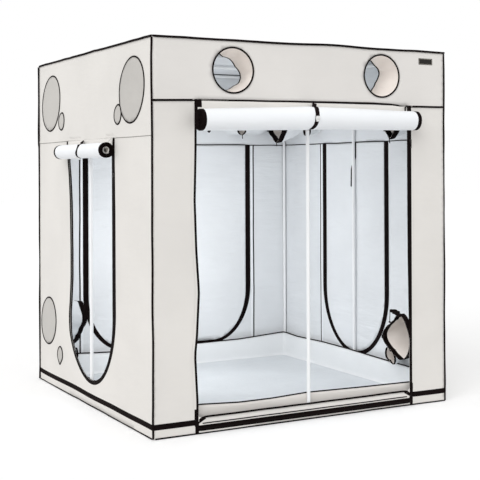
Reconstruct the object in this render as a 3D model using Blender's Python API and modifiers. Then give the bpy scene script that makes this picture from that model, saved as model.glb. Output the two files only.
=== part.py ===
"""An indoor grow tent: fabric walls over a frame of steel tubes, two doors rolled up and two zipped shut.

The origin is at the centre of the footprint, on the ground. +X runs to the right along the front,
+Y from the front to the back, and +Z up. Everything is in metres.
"""
import math

import bmesh
import bpy
from mathutils import Matrix

# Overall size
TENT_WIDTH = 2.0
TENT_DEPTH = 2.0
TENT_HEIGHT = 2.2

# Fabric, and the clearance between pieces that touch
CLOTH = 0.002
GAP = 0.0003
BINDING_SIDE = 0.005
CUT_OVERRUN = 0.01

# Frame tubes
TUBE_RADIUS = 0.011
TUBE_WALL = 0.001

# Three-way corner fittings
BALL_RADIUS = 0.0145
COLLAR_REACH = 0.026
SPIGOT_LENGTH = 0.035

# Tee fittings of the middle posts
TEE_WALL = 0.0022
TEE_SLEEVE_LENGTH = 0.052
TEE_COLLAR_REACH = 0.026

# Hanger bars and the saddles that hook over the side rails
HANGER_PLACE = 0.33
SADDLE_WALL = 0.0028
SADDLE_LENGTH = 0.026
SADDLE_LIP = 0.0025

# Front wall: drops are measured from the tent's top, heights from the ground
FRONT_SEAM_DROP = 0.34
FRONT_SIDE_STRIP = 0.2765
FRONT_SILL_HEIGHT = 0.093
FRONT_DOOR_CORNER = 0.02
FRONT_ZIP_FOOT = 0.029
FRONT_VENT_PLACE = 0.51
FRONT_VENT_DROP = 0.165
FRONT_VENT_RADIUS = 0.13

# Side and back walls
SIDE_SEAM_DROP = 0.54
SIDE_DOOR_CENTRE = 0.035
SIDE_DOOR_WIDTH = 0.78
SIDE_DOOR_FOOT = 0.165
SIDE_DOOR_ROUND_HEIGHT = 0.45
BACK_SIDE_STRIP = 0.3425
BACK_DOOR_ROUND_WIDTH = 0.30
BACK_DOOR_ROUND_HEIGHT = 0.40
FLAP_GAP = 0.0006

# Duct vents of the side and back walls: margins are measured from the wall's side edge
UPPER_VENT_DROP = 0.277
UPPER_VENT_MARGIN = 0.2775
UPPER_VENT_RADIUS = 0.185
CABLE_VENT_DROP = 0.4065
CABLE_VENT_MARGIN = 0.493
CABLE_VENT_RADIUS = 0.0585
LOWER_VENT_HEIGHT = 0.438
LOWER_VENT_MARGIN = 0.21
LOWER_VENT_RADIUS = 0.16
DROP_VENT_HEIGHT = 0.238
DROP_VENT_MARGIN = 0.444
DROP_VENT_RADIUS = 0.052
DROP_VENT_TIP = 0.07
COVER_RISE = 0.0012

# Vent sleeves
FRONT_SLEEVE_LENGTH = 0.20
LOWER_SLEEVE_LENGTH = 0.17
SLEEVE_DROOP = 0.035
MOUTH_SHARE = 0.88

# Zips
ZIP_WIDTH = 0.024
ZIP_TAPE = 0.0012
ZIP_CHAIN_WIDTH = 0.006
ZIP_CHAIN_RISE = 0.0016

# Zip sliders
SLIDER_WIDTH = 0.013
SLIDER_LENGTH = 0.022
SLIDER_RISE = 0.0055
SLIDER_ROUND = 0.0012
PULL_WIDTH = 0.008
PULL_LENGTH = 0.042
PULL_THICKNESS = 0.0022
PULL_TAPER_SHARE = 0.6
OPEN_SLIDER_DROP = 0.22
CLOSED_SLIDER_DROP = 0.05

# Rolled doors
FRONT_ROLL_RADIUS = 0.061
FRONT_ROLL_CORE = 0.010
FRONT_ROLL_DROP = 0.106
FRONT_ROLL_OVERHANG = 0.04
SIDE_ROLL_RADIUS = 0.045
SIDE_ROLL_CORE = 0.014
SIDE_ROLL_DROP = 0.069
SIDE_ROLL_OVERHANG = 0.06

# Roll straps
STRAP_WIDTH = 0.038
STRAP_THICKNESS = 0.0016
FRONT_STRAP_PLACE = 0.015
SIDE_STRAP_PLACE = 0.0

# Spill tray
TRAY_HEIGHT = 0.16
TRAY_SAG = 0.012

# Facets
TUBE_SIDES = 12
BALL_RINGS = 8
VENT_SIDES = 32
SLEEVE_RESOLUTION = 5
SLEEVE_RINGS = 5
ROUND_STEPS = 12
CORNER_STEPS = 4
TURN_STEPS = 14
STRAP_STEPS = 18
TRAY_STEPS = 12
SLIDER_ROUND_STEPS = 2
SMOOTH_ANGLE = math.radians(40)
FLAT_ANGLE = math.radians(1)

# Sizes that follow from those above
HALF_WIDTH = TENT_WIDTH / 2
HALF_DEPTH = TENT_DEPTH / 2
WELD_SHARE = 0.1
WELD_DISTANCE = GAP * WELD_SHARE
FRONT_SEAM_HEIGHT = TENT_HEIGHT - FRONT_SEAM_DROP
FRONT_VENT_HEIGHT = TENT_HEIGHT - FRONT_VENT_DROP
SIDE_SEAM_HEIGHT = TENT_HEIGHT - SIDE_SEAM_DROP
FRAME_INSET = CLOTH + GAP + BALL_RADIUS
TEE_RADIUS = TUBE_RADIUS + GAP + TEE_WALL
FRONT_DOOR_WIDTH = TENT_WIDTH - 2 * FRONT_SIDE_STRIP
BACK_DOOR_WIDTH = TENT_WIDTH - 2 * BACK_SIDE_STRIP
ROLL_BACK = GAP + ZIP_TAPE + ZIP_CHAIN_RISE + GAP

WALL_TURNS = {"front": 0, "right": math.pi / 2, "back": math.pi, "left": -math.pi / 2}
WALL_DISTANCES = {"front": HALF_DEPTH, "right": HALF_WIDTH, "back": HALF_DEPTH, "left": HALF_WIDTH}
WALL_HALVES = {"front": HALF_WIDTH, "right": HALF_DEPTH, "back": HALF_WIDTH, "left": HALF_DEPTH}


def clear_objects():
    for obj in list(bpy.data.objects):
        bpy.data.objects.remove(obj, do_unlink=True)


def new_collection(name):
    collection = bpy.data.collections.new(name)
    bpy.context.scene.collection.children.link(collection)
    return collection


def new_material(name, finish):
    color, roughness, metallic = finish
    material = bpy.data.materials.new(name)
    material.use_nodes = True
    shader = material.node_tree.nodes["Principled BSDF"]
    shader.inputs["Base Color"].default_value = (*color, 1.0)
    shader.inputs["Roughness"].default_value = roughness
    shader.inputs["Metallic"].default_value = metallic
    return material


clear_objects()
TENT = new_collection("grow_tent")
HELPERS = new_collection("cutters_and_guides")

# Finishes: colour, roughness and metallic value
OUTER_FABRIC = ((0.86, 0.83, 0.79), 0.6, 0.0)
INNER_FABRIC = ((0.84, 0.87, 0.90), 0.5, 0.0)
TRAY_FABRIC = ((0.80, 0.82, 0.84), 0.45, 0.0)
TRIM_BLACK = ((0.022, 0.016, 0.014), 0.7, 0.0)
TUBE_WHITE = ((0.90, 0.91, 0.92), 0.35, 0.0)
FITTING_WHITE = ((0.85, 0.86, 0.87), 0.45, 0.0)
SLIDER_BLACK = ((0.03, 0.025, 0.025), 0.4, 0.3)


# Objects and their placing

def show(name, data, finish, parent=None):
    """A named piece of the tent, with its own material."""
    obj = bpy.data.objects.new(name, data)
    TENT.objects.link(obj)
    material = new_material(name, finish)
    if len(data.materials) == 0:
        data.materials.append(None)
    obj.material_slots[0].link = "OBJECT"
    obj.material_slots[0].material = material
    obj.parent = parent
    return obj


def helper(name, data):
    """A cutter or a guide, which is not a piece of the tent."""
    obj = bpy.data.objects.new(name, data)
    HELPERS.objects.link(obj)
    obj.hide_render = True
    obj.display_type = "WIRE"
    return obj


def empty(name, parent=None, location=(0, 0, 0), rotation=(0, 0, 0)):
    obj = bpy.data.objects.new(name, None)
    TENT.objects.link(obj)
    obj.parent = parent
    obj.location = location
    obj.rotation_euler = rotation
    return obj


def baked(obj, name):
    """The object's evaluated mesh, welded and facing outward, and the object removed."""
    bpy.context.view_layer.update()
    evaluated = obj.evaluated_get(bpy.context.evaluated_depsgraph_get())
    mesh = bpy.data.meshes.new_from_object(evaluated)
    mesh.name = name
    mesh.materials.clear()
    bm = bmesh.new()
    bm.from_mesh(mesh)
    bmesh.ops.remove_doubles(bm, verts=bm.verts, dist=WELD_DISTANCE)
    bmesh.ops.recalc_face_normals(bm, faces=bm.faces)
    bm.to_mesh(mesh)
    bm.free()
    bpy.data.objects.remove(obj, do_unlink=True)
    return mesh


def wall_frame(wall):
    """An empty at the foot of a wall's outer face: X to the right seen from outside, Y up, Z outward."""
    turn = WALL_TURNS[wall]
    distance = WALL_DISTANCES[wall]
    place = (math.sin(turn) * distance, -math.cos(turn) * distance, 0)
    return empty(wall + "_wall_frame", location=place, rotation=(math.pi / 2, 0, turn))


# Basic shapes

def bmesh_to_mesh(bm, name):
    mesh = bpy.data.meshes.new(name)
    bm.to_mesh(mesh)
    bm.free()
    return mesh


def box_mesh(name, size, centre=(0, 0, 0)):
    bm = bmesh.new()
    bmesh.ops.create_cube(bm, size=1)
    bmesh.ops.scale(bm, vec=size, verts=bm.verts)
    bmesh.ops.translate(bm, vec=centre, verts=bm.verts)
    return bmesh_to_mesh(bm, name)


def rod_mesh(name, radius, low, high, axis="Z", capped=True):
    """A round bar from low to high along an axis, or an open tube if it is not capped."""
    bm = bmesh.new()
    bmesh.ops.create_cone(bm, cap_ends=capped, segments=TUBE_SIDES, radius1=radius, radius2=radius,
                          depth=high - low)
    bmesh.ops.translate(bm, vec=(0, 0, (low + high) / 2), verts=bm.verts)
    if axis != "Z":
        turn = Matrix.Rotation(math.pi / 2, 3, "Y" if axis == "X" else "X")
        if axis == "Y":
            turn = turn.inverted()
        bmesh.ops.rotate(bm, cent=(0, 0, 0), matrix=turn, verts=bm.verts)
    return bmesh_to_mesh(bm, name)


def around(radius):
    """The corner radius of a faceted bore whose flats stay outside the given radius."""
    return radius / math.cos(math.pi / TUBE_SIDES)


def flat_curve(name, outlines, thickness):
    """A flat piece with holes: the first outline is its edge, and each further one a hole."""
    curve = bpy.data.curves.new(name, "CURVE")
    curve.dimensions = "2D"
    curve.fill_mode = "BOTH"
    curve.extrude = thickness / 2
    for points in outlines:
        spline = curve.splines.new("POLY")
        spline.points.add(len(points) - 1)
        for place, (u, v) in zip(spline.points, points):
            place.co = (u, v, 0, 1)
        spline.use_cyclic_u = True
    return curve


def combine(target, other_meshes, operation):
    """The target mesh joined with or cut by the others, one after another."""
    obj = helper(target.name, target)
    tools = []
    for mesh in other_meshes:
        tool = helper(mesh.name, mesh)
        step = obj.modifiers.new(mesh.name, "BOOLEAN")
        step.operation = operation
        step.solver = "EXACT"
        step.object = tool
        tools.append(tool)
    result = baked(obj, target.name)
    for tool in tools:
        bpy.data.objects.remove(tool, do_unlink=True)
    return result


def solidified(mesh, thickness):
    """A closed shell from an open surface, which stays its outer face."""
    obj = helper(mesh.name, mesh)
    shell = obj.modifiers.new("wall", "SOLIDIFY")
    shell.thickness = thickness
    shell.offset = -1.0
    shell.use_even_offset = True
    return baked(obj, mesh.name)


def rounded(mesh):
    mesh.shade_smooth()
    mesh.set_sharp_from_angle(angle=SMOOTH_ANGLE)
    return mesh


def moved(mesh, matrix):
    copy = mesh.copy()
    copy.transform(matrix)
    return copy


# Outlines, as lists of (u, v) points

def rectangle(u_low, u_high, v_low, v_high):
    return [(u_low, v_low), (u_high, v_low), (u_high, v_high), (u_low, v_high)]


def circle(u, v, radius, sides=VENT_SIDES):
    turns = [2 * math.pi * step / sides for step in range(sides)]
    return [(u + radius * math.cos(turn), v + radius * math.sin(turn)) for turn in turns]


def teardrop(u, v, radius, tip_drop):
    """A round top that runs down to a point."""
    shoulder = math.pi / 6
    steps = VENT_SIDES // 2
    turns = [-shoulder + (math.pi + 2 * shoulder) * step / steps for step in range(steps + 1)]
    return [(u + radius * math.cos(turn), v + radius * math.sin(turn)) for turn in turns] + [(u, v - tip_drop)]


def u_path(centre, half_width, top, foot, round_width, round_height, steps):
    """The edge of a door with rounded lower corners, from its upper left down and round to its upper right."""
    left = []
    for step in range(steps + 1):
        turn = math.pi / 2 * step / steps
        u = centre - half_width + round_width * (1 - math.cos(turn))
        v = foot + round_height * (1 - math.sin(turn))
        left.append((u, v))
    right = [(2 * centre - u, v) for u, v in reversed(left)]
    if round_width >= half_width:
        right = right[1:]
    return [(centre - half_width, top)] + left + right + [(centre + half_width, top)]


def side_door_edge(outset):
    """The side doors' edge, moved outward from the door hole; a flap inside it stops short of the seam."""
    half = SIDE_DOOR_WIDTH / 2 + outset
    return u_path(SIDE_DOOR_CENTRE, half, SIDE_SEAM_HEIGHT + min(outset, 0), SIDE_DOOR_FOOT - outset,
                  half, SIDE_DOOR_ROUND_HEIGHT + outset, ROUND_STEPS)


def back_door_edge(outset):
    return u_path(0, BACK_DOOR_WIDTH / 2 + outset, SIDE_SEAM_HEIGHT + min(outset, 0), SIDE_DOOR_FOOT - outset,
                  BACK_DOOR_ROUND_WIDTH + outset, BACK_DOOR_ROUND_HEIGHT + outset, ROUND_STEPS)


def front_door_edge(outset, foot):
    corner = FRONT_DOOR_CORNER + outset
    return u_path(0, FRONT_DOOR_WIDTH / 2 + outset, FRONT_SEAM_HEIGHT, foot, corner, corner, CORNER_STEPS)


# Frame

def tube_mesh(name, low, high, axis):
    skin = rod_mesh(name, TUBE_RADIUS, low, high, axis, capped=False)
    return rounded(solidified(skin, TUBE_WALL))


def corner_fitting_mesh():
    """A ball with three collars and three spigots, along +X, +Y and +Z."""
    bm = bmesh.new()
    bmesh.ops.create_uvsphere(bm, u_segments=TUBE_SIDES, v_segments=BALL_RINGS, radius=BALL_RADIUS)
    ball = bmesh_to_mesh(bm, "corner_fitting")
    spigot_radius = TUBE_RADIUS - TUBE_WALL - GAP
    legs = []
    for axis in "XYZ":
        legs.append(rod_mesh("collar_" + axis, TUBE_RADIUS, 0, COLLAR_REACH, axis))
        tip = COLLAR_REACH + SPIGOT_LENGTH
        legs.append(rod_mesh("spigot_" + axis, spigot_radius * math.cos(math.pi / TUBE_SIDES), 0, tip, axis))
    return rounded(combine(ball, legs, "UNION"))


def tee_fitting_mesh():
    """A sleeve along X with a collar and a spigot up +Z."""
    half = TEE_SLEEVE_LENGTH / 2
    sleeve = rod_mesh("tee_fitting", TEE_RADIUS, -half, half, "X")
    spigot_radius = TUBE_RADIUS - TUBE_WALL - GAP
    collar = rod_mesh("tee_collar", TUBE_RADIUS, 0, TEE_COLLAR_REACH)
    spigot = rod_mesh("tee_spigot", spigot_radius * math.cos(math.pi / TUBE_SIDES), 0,
                      TEE_COLLAR_REACH + SPIGOT_LENGTH)
    body = combine(sleeve, [collar, spigot], "UNION")
    bore = rod_mesh("tee_bore", around(TUBE_RADIUS + GAP / 2), -half - CUT_OVERRUN, half + CUT_OVERRUN, "X")
    return rounded(combine(body, [bore], "DIFFERENCE"))


def build_frame():
    across = HALF_WIDTH - FRAME_INSET
    along = HALF_DEPTH - FRAME_INSET
    low = FRAME_INSET
    high = TENT_HEIGHT - FRAME_INSET
    end = COLLAR_REACH + GAP

    post = tube_mesh("corner_post", low + end, high - end, "Z")
    middle_end = TEE_COLLAR_REACH + GAP
    middle_post = tube_mesh("middle_post", low + middle_end, high - middle_end, "Z")
    rail_x = tube_mesh("rail_across", -across + end, across - end, "X")
    rail_y = tube_mesh("rail_along", -along + end, along - end, "Y")
    corner = corner_fitting_mesh()
    tee = tee_fitting_mesh()

    def place(name, mesh, location, finish, rotation=(0, 0, 0)):
        obj = show(name, mesh, finish)
        obj.location = location
        obj.rotation_euler = rotation

    corners = {"front_left": (-1, -1), "front_right": (1, -1), "back_right": (1, 1), "back_left": (-1, 1)}
    for number, (spot, (sx, sy)) in enumerate(corners.items()):
        x = sx * across
        y = sy * along
        place("corner_post_" + spot, post, (x, y, 0), TUBE_WHITE)
        turn = number * math.pi / 2
        upside_down = (math.pi, 0, turn + math.pi / 2)
        place("corner_fitting_bottom_" + spot, corner, (x, y, low), FITTING_WHITE, (0, 0, turn))
        place("corner_fitting_top_" + spot, corner, (x, y, high), FITTING_WHITE, upside_down)

    walls = {"front": (0, -along, rail_x, 0), "right": (across, 0, rail_y, math.pi / 2),
             "back": (0, along, rail_x, 0), "left": (-across, 0, rail_y, math.pi / 2)}
    for wall, (x, y, rail, turn) in walls.items():
        place("middle_post_" + wall, middle_post, (x, y, 0), TUBE_WHITE)
        place("bottom_rail_" + wall, rail, (x, y, low), TUBE_WHITE)
        place("top_rail_" + wall, rail, (x, y, high), TUBE_WHITE)
        place("tee_bottom_" + wall, tee, (x, y, low), FITTING_WHITE, (0, 0, turn))
        place("tee_top_" + wall, tee, (x, y, high), FITTING_WHITE, (math.pi, 0, turn))


def hanger_bar_mesh():
    """A hollow bar along X, coped to the side rails, with a half-round saddle over each rail."""
    rail = HALF_WIDTH - FRAME_INSET
    clear = around(TUBE_RADIUS + GAP)
    outer = clear + SADDLE_WALL
    bar_end = rail - clear + SADDLE_WALL
    bar = tube_mesh("hanger_bar", -bar_end, bar_end, "X")
    half = SADDLE_LENGTH / 2
    cut_size = (2 * outer + CUT_OVERRUN, SADDLE_LENGTH + CUT_OVERRUN, 2 * outer)
    saddles = []
    bores = []
    for side in (-1, 1):
        ring = rod_mesh("saddle", outer, -half, half, "Y")
        lower = box_mesh("saddle_cut", cut_size, (0, 0, -outer - SADDLE_LIP))
        saddle = combine(ring, [lower], "DIFFERENCE")
        shift = Matrix.Translation((side * rail, 0, 0))
        saddles.append(moved(saddle, shift))
        bore = rod_mesh("saddle_bore", clear, -half - CUT_OVERRUN, half + CUT_OVERRUN, "Y")
        bores.append(moved(bore, shift))
    return rounded(combine(combine(bar, saddles, "UNION"), bores, "DIFFERENCE"))


def build_hanger_bars():
    mesh = hanger_bar_mesh()
    for name, side in (("hanger_bar_front", -1), ("hanger_bar_back", 1)):
        bar = show(name, mesh, TUBE_WHITE)
        bar.location = (0, side * HANGER_PLACE, TENT_HEIGHT - FRAME_INSET)


# Fabric shell

def edge_binding_mesh():
    """The bars along the twelve edges, left over when the box is cut through along each axis."""
    size = (TENT_WIDTH, TENT_DEPTH, TENT_HEIGHT)
    centre = (0, 0, TENT_HEIGHT / 2)
    block = box_mesh("edge_binding", size, centre)
    cutters = []
    for axis in range(3):
        hollow = [length - 2 * BINDING_SIDE for length in size]
        hollow[axis] = size[axis] + 2 * CUT_OVERRUN
        cutters.append(box_mesh("binding_cut", hollow, centre))
    return combine(block, cutters, "DIFFERENCE")


def wall_outline(wall):
    edge = BINDING_SIDE + GAP
    half = WALL_HALVES[wall] - edge
    return rectangle(-half, half, edge, TENT_HEIGHT - edge)


def upper_covers(wall):
    """The outlines of the closed vents above a wall's seam, seen from outside."""
    covers = []
    for side in (-1, 1):
        duct = side * (WALL_HALVES[wall] - UPPER_VENT_MARGIN)
        covers.append(circle(duct, TENT_HEIGHT - UPPER_VENT_DROP, UPPER_VENT_RADIUS))
        cable = side * (WALL_HALVES[wall] - CABLE_VENT_MARGIN)
        covers.append(circle(cable, TENT_HEIGHT - CABLE_VENT_DROP, CABLE_VENT_RADIUS, VENT_SIDES // 2))
    return covers


def lower_covers(wall):
    duct = LOWER_VENT_MARGIN - WALL_HALVES[wall]
    cable = DROP_VENT_MARGIN - WALL_HALVES[wall]
    return [
        circle(duct, LOWER_VENT_HEIGHT, LOWER_VENT_RADIUS),
        teardrop(cable, DROP_VENT_HEIGHT, DROP_VENT_RADIUS, DROP_VENT_TIP),
    ]


def wall_mesh(name, outlines, covers):
    """A wall sheet with its door hole, and a raised cover over each closed vent."""
    sheet_curve = flat_curve(name, outlines, CLOTH)
    sheet = baked(helper(name, sheet_curve), name)
    raised = []
    for outline in covers:
        cover_curve = flat_curve(name + "_cover", [outline], CLOTH / 2 + COVER_RISE)
        cover = baked(helper(name + "_cover", cover_curve), name + "_cover")
        cover.transform(Matrix.Translation((0, 0, (CLOTH / 2 + COVER_RISE) / 2)))
        raised.append(cover)
    if raised:
        sheet = combine(sheet, raised, "UNION")
    return sheet


def build_shell(frames):
    show("edge_binding", edge_binding_mesh(), TRIM_BLACK)

    edge = BINDING_SIDE + GAP
    size = (TENT_WIDTH - 2 * edge, TENT_DEPTH - 2 * edge, CLOTH)
    floor = show("floor_sheet", box_mesh("floor_sheet", size), INNER_FABRIC)
    floor.location = (0, 0, CLOTH / 2)
    roof = show("roof_sheet", box_mesh("roof_sheet", size), OUTER_FABRIC)
    roof.location = (0, 0, TENT_HEIGHT - CLOTH / 2)

    front_holes = [front_door_edge(0, FRONT_SILL_HEIGHT)]
    for side in (-1, 1):
        front_holes.append(circle(side * FRONT_VENT_PLACE, FRONT_VENT_HEIGHT, FRONT_VENT_RADIUS))
    front = wall_mesh("front_wall", [wall_outline("front")] + front_holes, [])
    side_covers = upper_covers("left") + lower_covers("left")
    side = wall_mesh("side_wall", [wall_outline("left"), side_door_edge(0)], side_covers)
    back = wall_mesh("back_wall", [wall_outline("back"), back_door_edge(0)], upper_covers("back"))

    for wall, mesh in (("front", front), ("left", side), ("right", side), ("back", back)):
        sheet = show(wall + "_wall", mesh, OUTER_FABRIC, frames[wall])
        sheet.location = (0, 0, -CLOTH / 2)


def tray_mesh():
    """An open fabric tray whose rim sags between the posts."""
    inset = FRAME_INSET + TEE_RADIUS + GAP
    half_x = HALF_WIDTH - inset
    half_y = HALF_DEPTH - inset
    bm = bmesh.new()
    bmesh.ops.create_grid(bm, x_segments=TRAY_STEPS, y_segments=TRAY_STEPS, size=1)
    bmesh.ops.scale(bm, vec=(half_x, half_y, 1), verts=bm.verts)
    rim = [edge for edge in bm.edges if edge.is_boundary]
    grown = bmesh.ops.extrude_edge_only(bm, edges=rim)
    for vert in grown["geom"]:
        if isinstance(vert, bmesh.types.BMVert):
            along_x = abs(math.sin(math.pi * vert.co.x / half_x))
            along_y = abs(math.sin(math.pi * vert.co.y / half_y))
            vert.co.z = TRAY_HEIGHT - TRAY_SAG * max(along_x, along_y)
    bmesh.ops.dissolve_limit(bm, angle_limit=FLAT_ANGLE, verts=bm.verts, edges=bm.edges)
    bmesh.ops.recalc_face_normals(bm, faces=bm.faces)
    return solidified(bmesh_to_mesh(bm, "spill_tray"), CLOTH)


def build_tray():
    tray = show("spill_tray", tray_mesh(), TRAY_FABRIC)
    tray.location = (0, 0, CLOTH + GAP)


# Rolled doors and their straps

def roll_outline(radius, core, drop, cloth_length):
    """A rolled door's section: X away from the wall, Y up, with the seam at the origin.

    The sheet comes down from the seam behind the roll, goes under it and winds inward. The number of turns
    follows from the length of cloth that is rolled up.
    """
    half = CLOTH / 2
    outer = radius - half
    turns = (cloth_length - drop) / (math.pi * (outer + core))
    centre_x = ROLL_BACK + radius
    steps = round(turns * TURN_STEPS)
    wall_side = []
    roll_side = []
    for step in range(steps + 1):
        share = step / steps
        turn = math.pi + 2 * math.pi * turns * share
        middle = outer - (outer - core) * share
        for line, reach in ((wall_side, middle + half), (roll_side, middle - half)):
            line.append((centre_x + reach * math.cos(turn), -drop + reach * math.sin(turn)))
    print("rolled door:", round(turns, 2), "turns, least gap", round((outer - core) / turns - CLOTH, 5))
    return [(ROLL_BACK, 0)] + wall_side + roll_side[::-1] + [(ROLL_BACK + CLOTH, 0)]


def strap_outline(radius, drop):
    """A strap's section: from the seam over the roll's front, under it and up behind its sheet to the seam."""
    half = STRAP_THICKNESS / 2
    middle = radius + GAP + half
    centre_x = ROLL_BACK + radius
    front_x = ROLL_BACK + CLOTH + GAP + half
    front_span = math.hypot(centre_x - front_x, drop)
    front_turn = math.atan2(drop, front_x - centre_x) - math.acos(middle / front_span)
    rear_rise = drop - FLAP_GAP
    rear_span = math.hypot(centre_x + half, rear_rise)
    rear_turn = math.atan2(rear_rise, -half - centre_x) + math.acos(middle / rear_span) - 2 * math.pi
    outer_side = []
    inner_side = []
    for line, offset in ((outer_side, half), (inner_side, -half)):
        line.append((front_x + offset * math.cos(front_turn), offset * math.sin(front_turn)))
        for step in range(STRAP_STEPS + 1):
            turn = front_turn + (rear_turn - front_turn) * step / STRAP_STEPS
            reach = middle + offset
            line.append((centre_x + reach * math.cos(turn), -drop + reach * math.sin(turn)))
        line.append((-half + offset * math.cos(rear_turn), -FLAP_GAP + offset * math.sin(rear_turn)))
    return outer_side + inner_side[::-1]


def build_rolled_door(wall, hinge, length, centre, strap_place, radius, core, drop, cloth_length):
    """The rolled door and its strap, both extruded along the wall from their sections."""
    along_wall = (0, -math.pi / 2, 0)
    section = roll_outline(radius, core, drop, cloth_length)
    door = show(wall + "_door", flat_curve(wall + "_door", [section], length), INNER_FABRIC, hinge)
    door.location = (centre, 0, 0)
    door.rotation_euler = along_wall
    loop = flat_curve(wall + "_roll_strap", [strap_outline(radius, drop)], STRAP_WIDTH)
    strap = show(wall + "_roll_strap", loop, TRIM_BLACK, hinge)
    strap.location = (strap_place, 0, 0)
    strap.rotation_euler = along_wall


def build_closed_door(wall, hinge, edge):
    outline = [(u, v - SIDE_SEAM_HEIGHT) for u, v in edge(-FLAP_GAP)]
    door = show(wall + "_door", flat_curve(wall + "_door", [outline], CLOTH), OUTER_FABRIC, hinge)
    door.location = (0, 0, -CLOTH / 2)


def build_doors(frames):
    hinges = {}
    for wall, frame in frames.items():
        height = FRONT_SEAM_HEIGHT if wall == "front" else SIDE_SEAM_HEIGHT
        hinges[wall] = empty(wall + "_door_hinge", frame, (0, height, 0))
    build_rolled_door("front", hinges["front"], FRONT_DOOR_WIDTH + 2 * FRONT_ROLL_OVERHANG, 0,
                      FRONT_STRAP_PLACE, FRONT_ROLL_RADIUS, FRONT_ROLL_CORE, FRONT_ROLL_DROP,
                      FRONT_SEAM_HEIGHT - FRONT_ZIP_FOOT)
    build_rolled_door("left", hinges["left"], SIDE_DOOR_WIDTH + 2 * SIDE_ROLL_OVERHANG, SIDE_DOOR_CENTRE,
                      SIDE_STRAP_PLACE, SIDE_ROLL_RADIUS, SIDE_ROLL_CORE, SIDE_ROLL_DROP,
                      SIDE_SEAM_HEIGHT - SIDE_DOOR_FOOT)
    build_closed_door("back", hinges["back"], back_door_edge)
    build_closed_door("right", hinges["right"], side_door_edge)


# Zips and their sliders

def zip_profile():
    """A zip's section: a flat tape with the raised chain along its middle, seen along the zip."""
    half = ZIP_WIDTH / 2
    chain = ZIP_CHAIN_WIDTH / 2
    tape_top = GAP + ZIP_TAPE
    chain_top = tape_top + ZIP_CHAIN_RISE
    points = [(-half, GAP), (half, GAP), (half, tape_top), (chain, tape_top), (chain, chain_top),
              (-chain, chain_top), (-chain, tape_top), (-half, tape_top)]
    curve = flat_curve("zip_section", [points], 0)
    curve.fill_mode = "NONE"
    return helper("zip_section", curve)


def build_zip(wall, frame, path, section):
    curve = bpy.data.curves.new(wall + "_zip", "CURVE")
    curve.dimensions = "2D"
    curve.fill_mode = "NONE"
    curve.bevel_mode = "OBJECT"
    curve.bevel_object = section
    curve.use_fill_caps = True
    spline = curve.splines.new("POLY")
    spline.points.add(len(path) - 1)
    for place, (u, v) in zip(spline.points, path):
        place.co = (u, v, 0, 1)
    mesh = baked(helper(wall + "_zip", curve), wall + "_zip")
    show(wall + "_zip", mesh, TRIM_BLACK, frame)


def slider_mesh():
    """A slider over the zip's chain, with its pull hanging from the lug on its face."""
    base = GAP + ZIP_TAPE + GAP
    top = base + SLIDER_RISE
    bm = bmesh.new()
    bmesh.ops.create_cube(bm, size=1)
    bmesh.ops.scale(bm, vec=(SLIDER_WIDTH, SLIDER_LENGTH, SLIDER_RISE), verts=bm.verts)
    bmesh.ops.translate(bm, vec=(0, 0, (base + top) / 2), verts=bm.verts)
    bmesh.ops.bevel(bm, geom=bm.edges, offset=SLIDER_ROUND, segments=SLIDER_ROUND_STEPS, profile=0.5,
                    affect="EDGES")
    body = bmesh_to_mesh(bm, "zip_slider")
    channel_top = GAP + ZIP_TAPE + ZIP_CHAIN_RISE + GAP
    channel_size = (ZIP_CHAIN_WIDTH + 2 * GAP, SLIDER_LENGTH + 2 * CUT_OVERRUN, 2 * channel_top)
    body = combine(body, [box_mesh("slider_channel", channel_size)], "DIFFERENCE")

    half = PULL_WIDTH / 2
    taper = half * PULL_TAPER_SHARE
    outline = circle(0, -PULL_LENGTH + half, half, TUBE_SIDES)
    outline = [point for point in outline if point[1] <= -PULL_LENGTH + half]
    outline += [(taper, 0), (-taper, 0)]
    pull = baked(helper("pull", flat_curve("pull", [outline], PULL_THICKNESS)), "pull")
    pull.transform(Matrix.Translation((0, 0, top + PULL_THICKNESS)))
    lug = box_mesh("pull_lug", (2 * taper, 2 * taper, 2 * PULL_THICKNESS), (0, -taper, top))
    return rounded(combine(body, [lug, pull], "UNION"))


def build_zips(frames):
    section = zip_profile()
    middle = ZIP_WIDTH / 2
    paths = {
        "front": front_door_edge(middle, FRONT_ZIP_FOOT),
        "left": side_door_edge(middle),
        "right": side_door_edge(middle),
        "back": back_door_edge(middle),
    }
    mesh = slider_mesh()
    for wall, path in paths.items():
        build_zip(wall, frames[wall], path, section)
        drop = OPEN_SLIDER_DROP if wall in ("front", "left") else CLOSED_SLIDER_DROP
        u, v = path[-1]
        slider = show(wall + "_zip_slider", mesh, SLIDER_BLACK, frames[wall])
        slider.location = (u, v - drop, 0)


# Vent sleeves

def sleeve_mesh(name, radius, length):
    """A soft tube from the wall, where its origin is, that runs inward, droops and narrows to its mouth."""
    start = -CLOTH - GAP
    curve = bpy.data.curves.new(name, "CURVE")
    curve.dimensions = "3D"
    curve.bevel_depth = radius + CLOTH
    curve.bevel_resolution = SLEEVE_RESOLUTION
    curve.use_fill_caps = False
    spline = curve.splines.new("POLY")
    spline.points.add(SLEEVE_RINGS)
    for ring, place in enumerate(spline.points):
        share = ring / SLEEVE_RINGS
        bend_share = max(0.0, share - 1 / SLEEVE_RINGS)
        place.co = (0, -SLEEVE_DROOP * bend_share ** 2, start - length * share, 1)
        place.radius = 1 - (1 - MOUTH_SHARE) * bend_share
    skin = baked(helper(name, curve), name)
    return rounded(solidified(skin, CLOTH))


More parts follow.
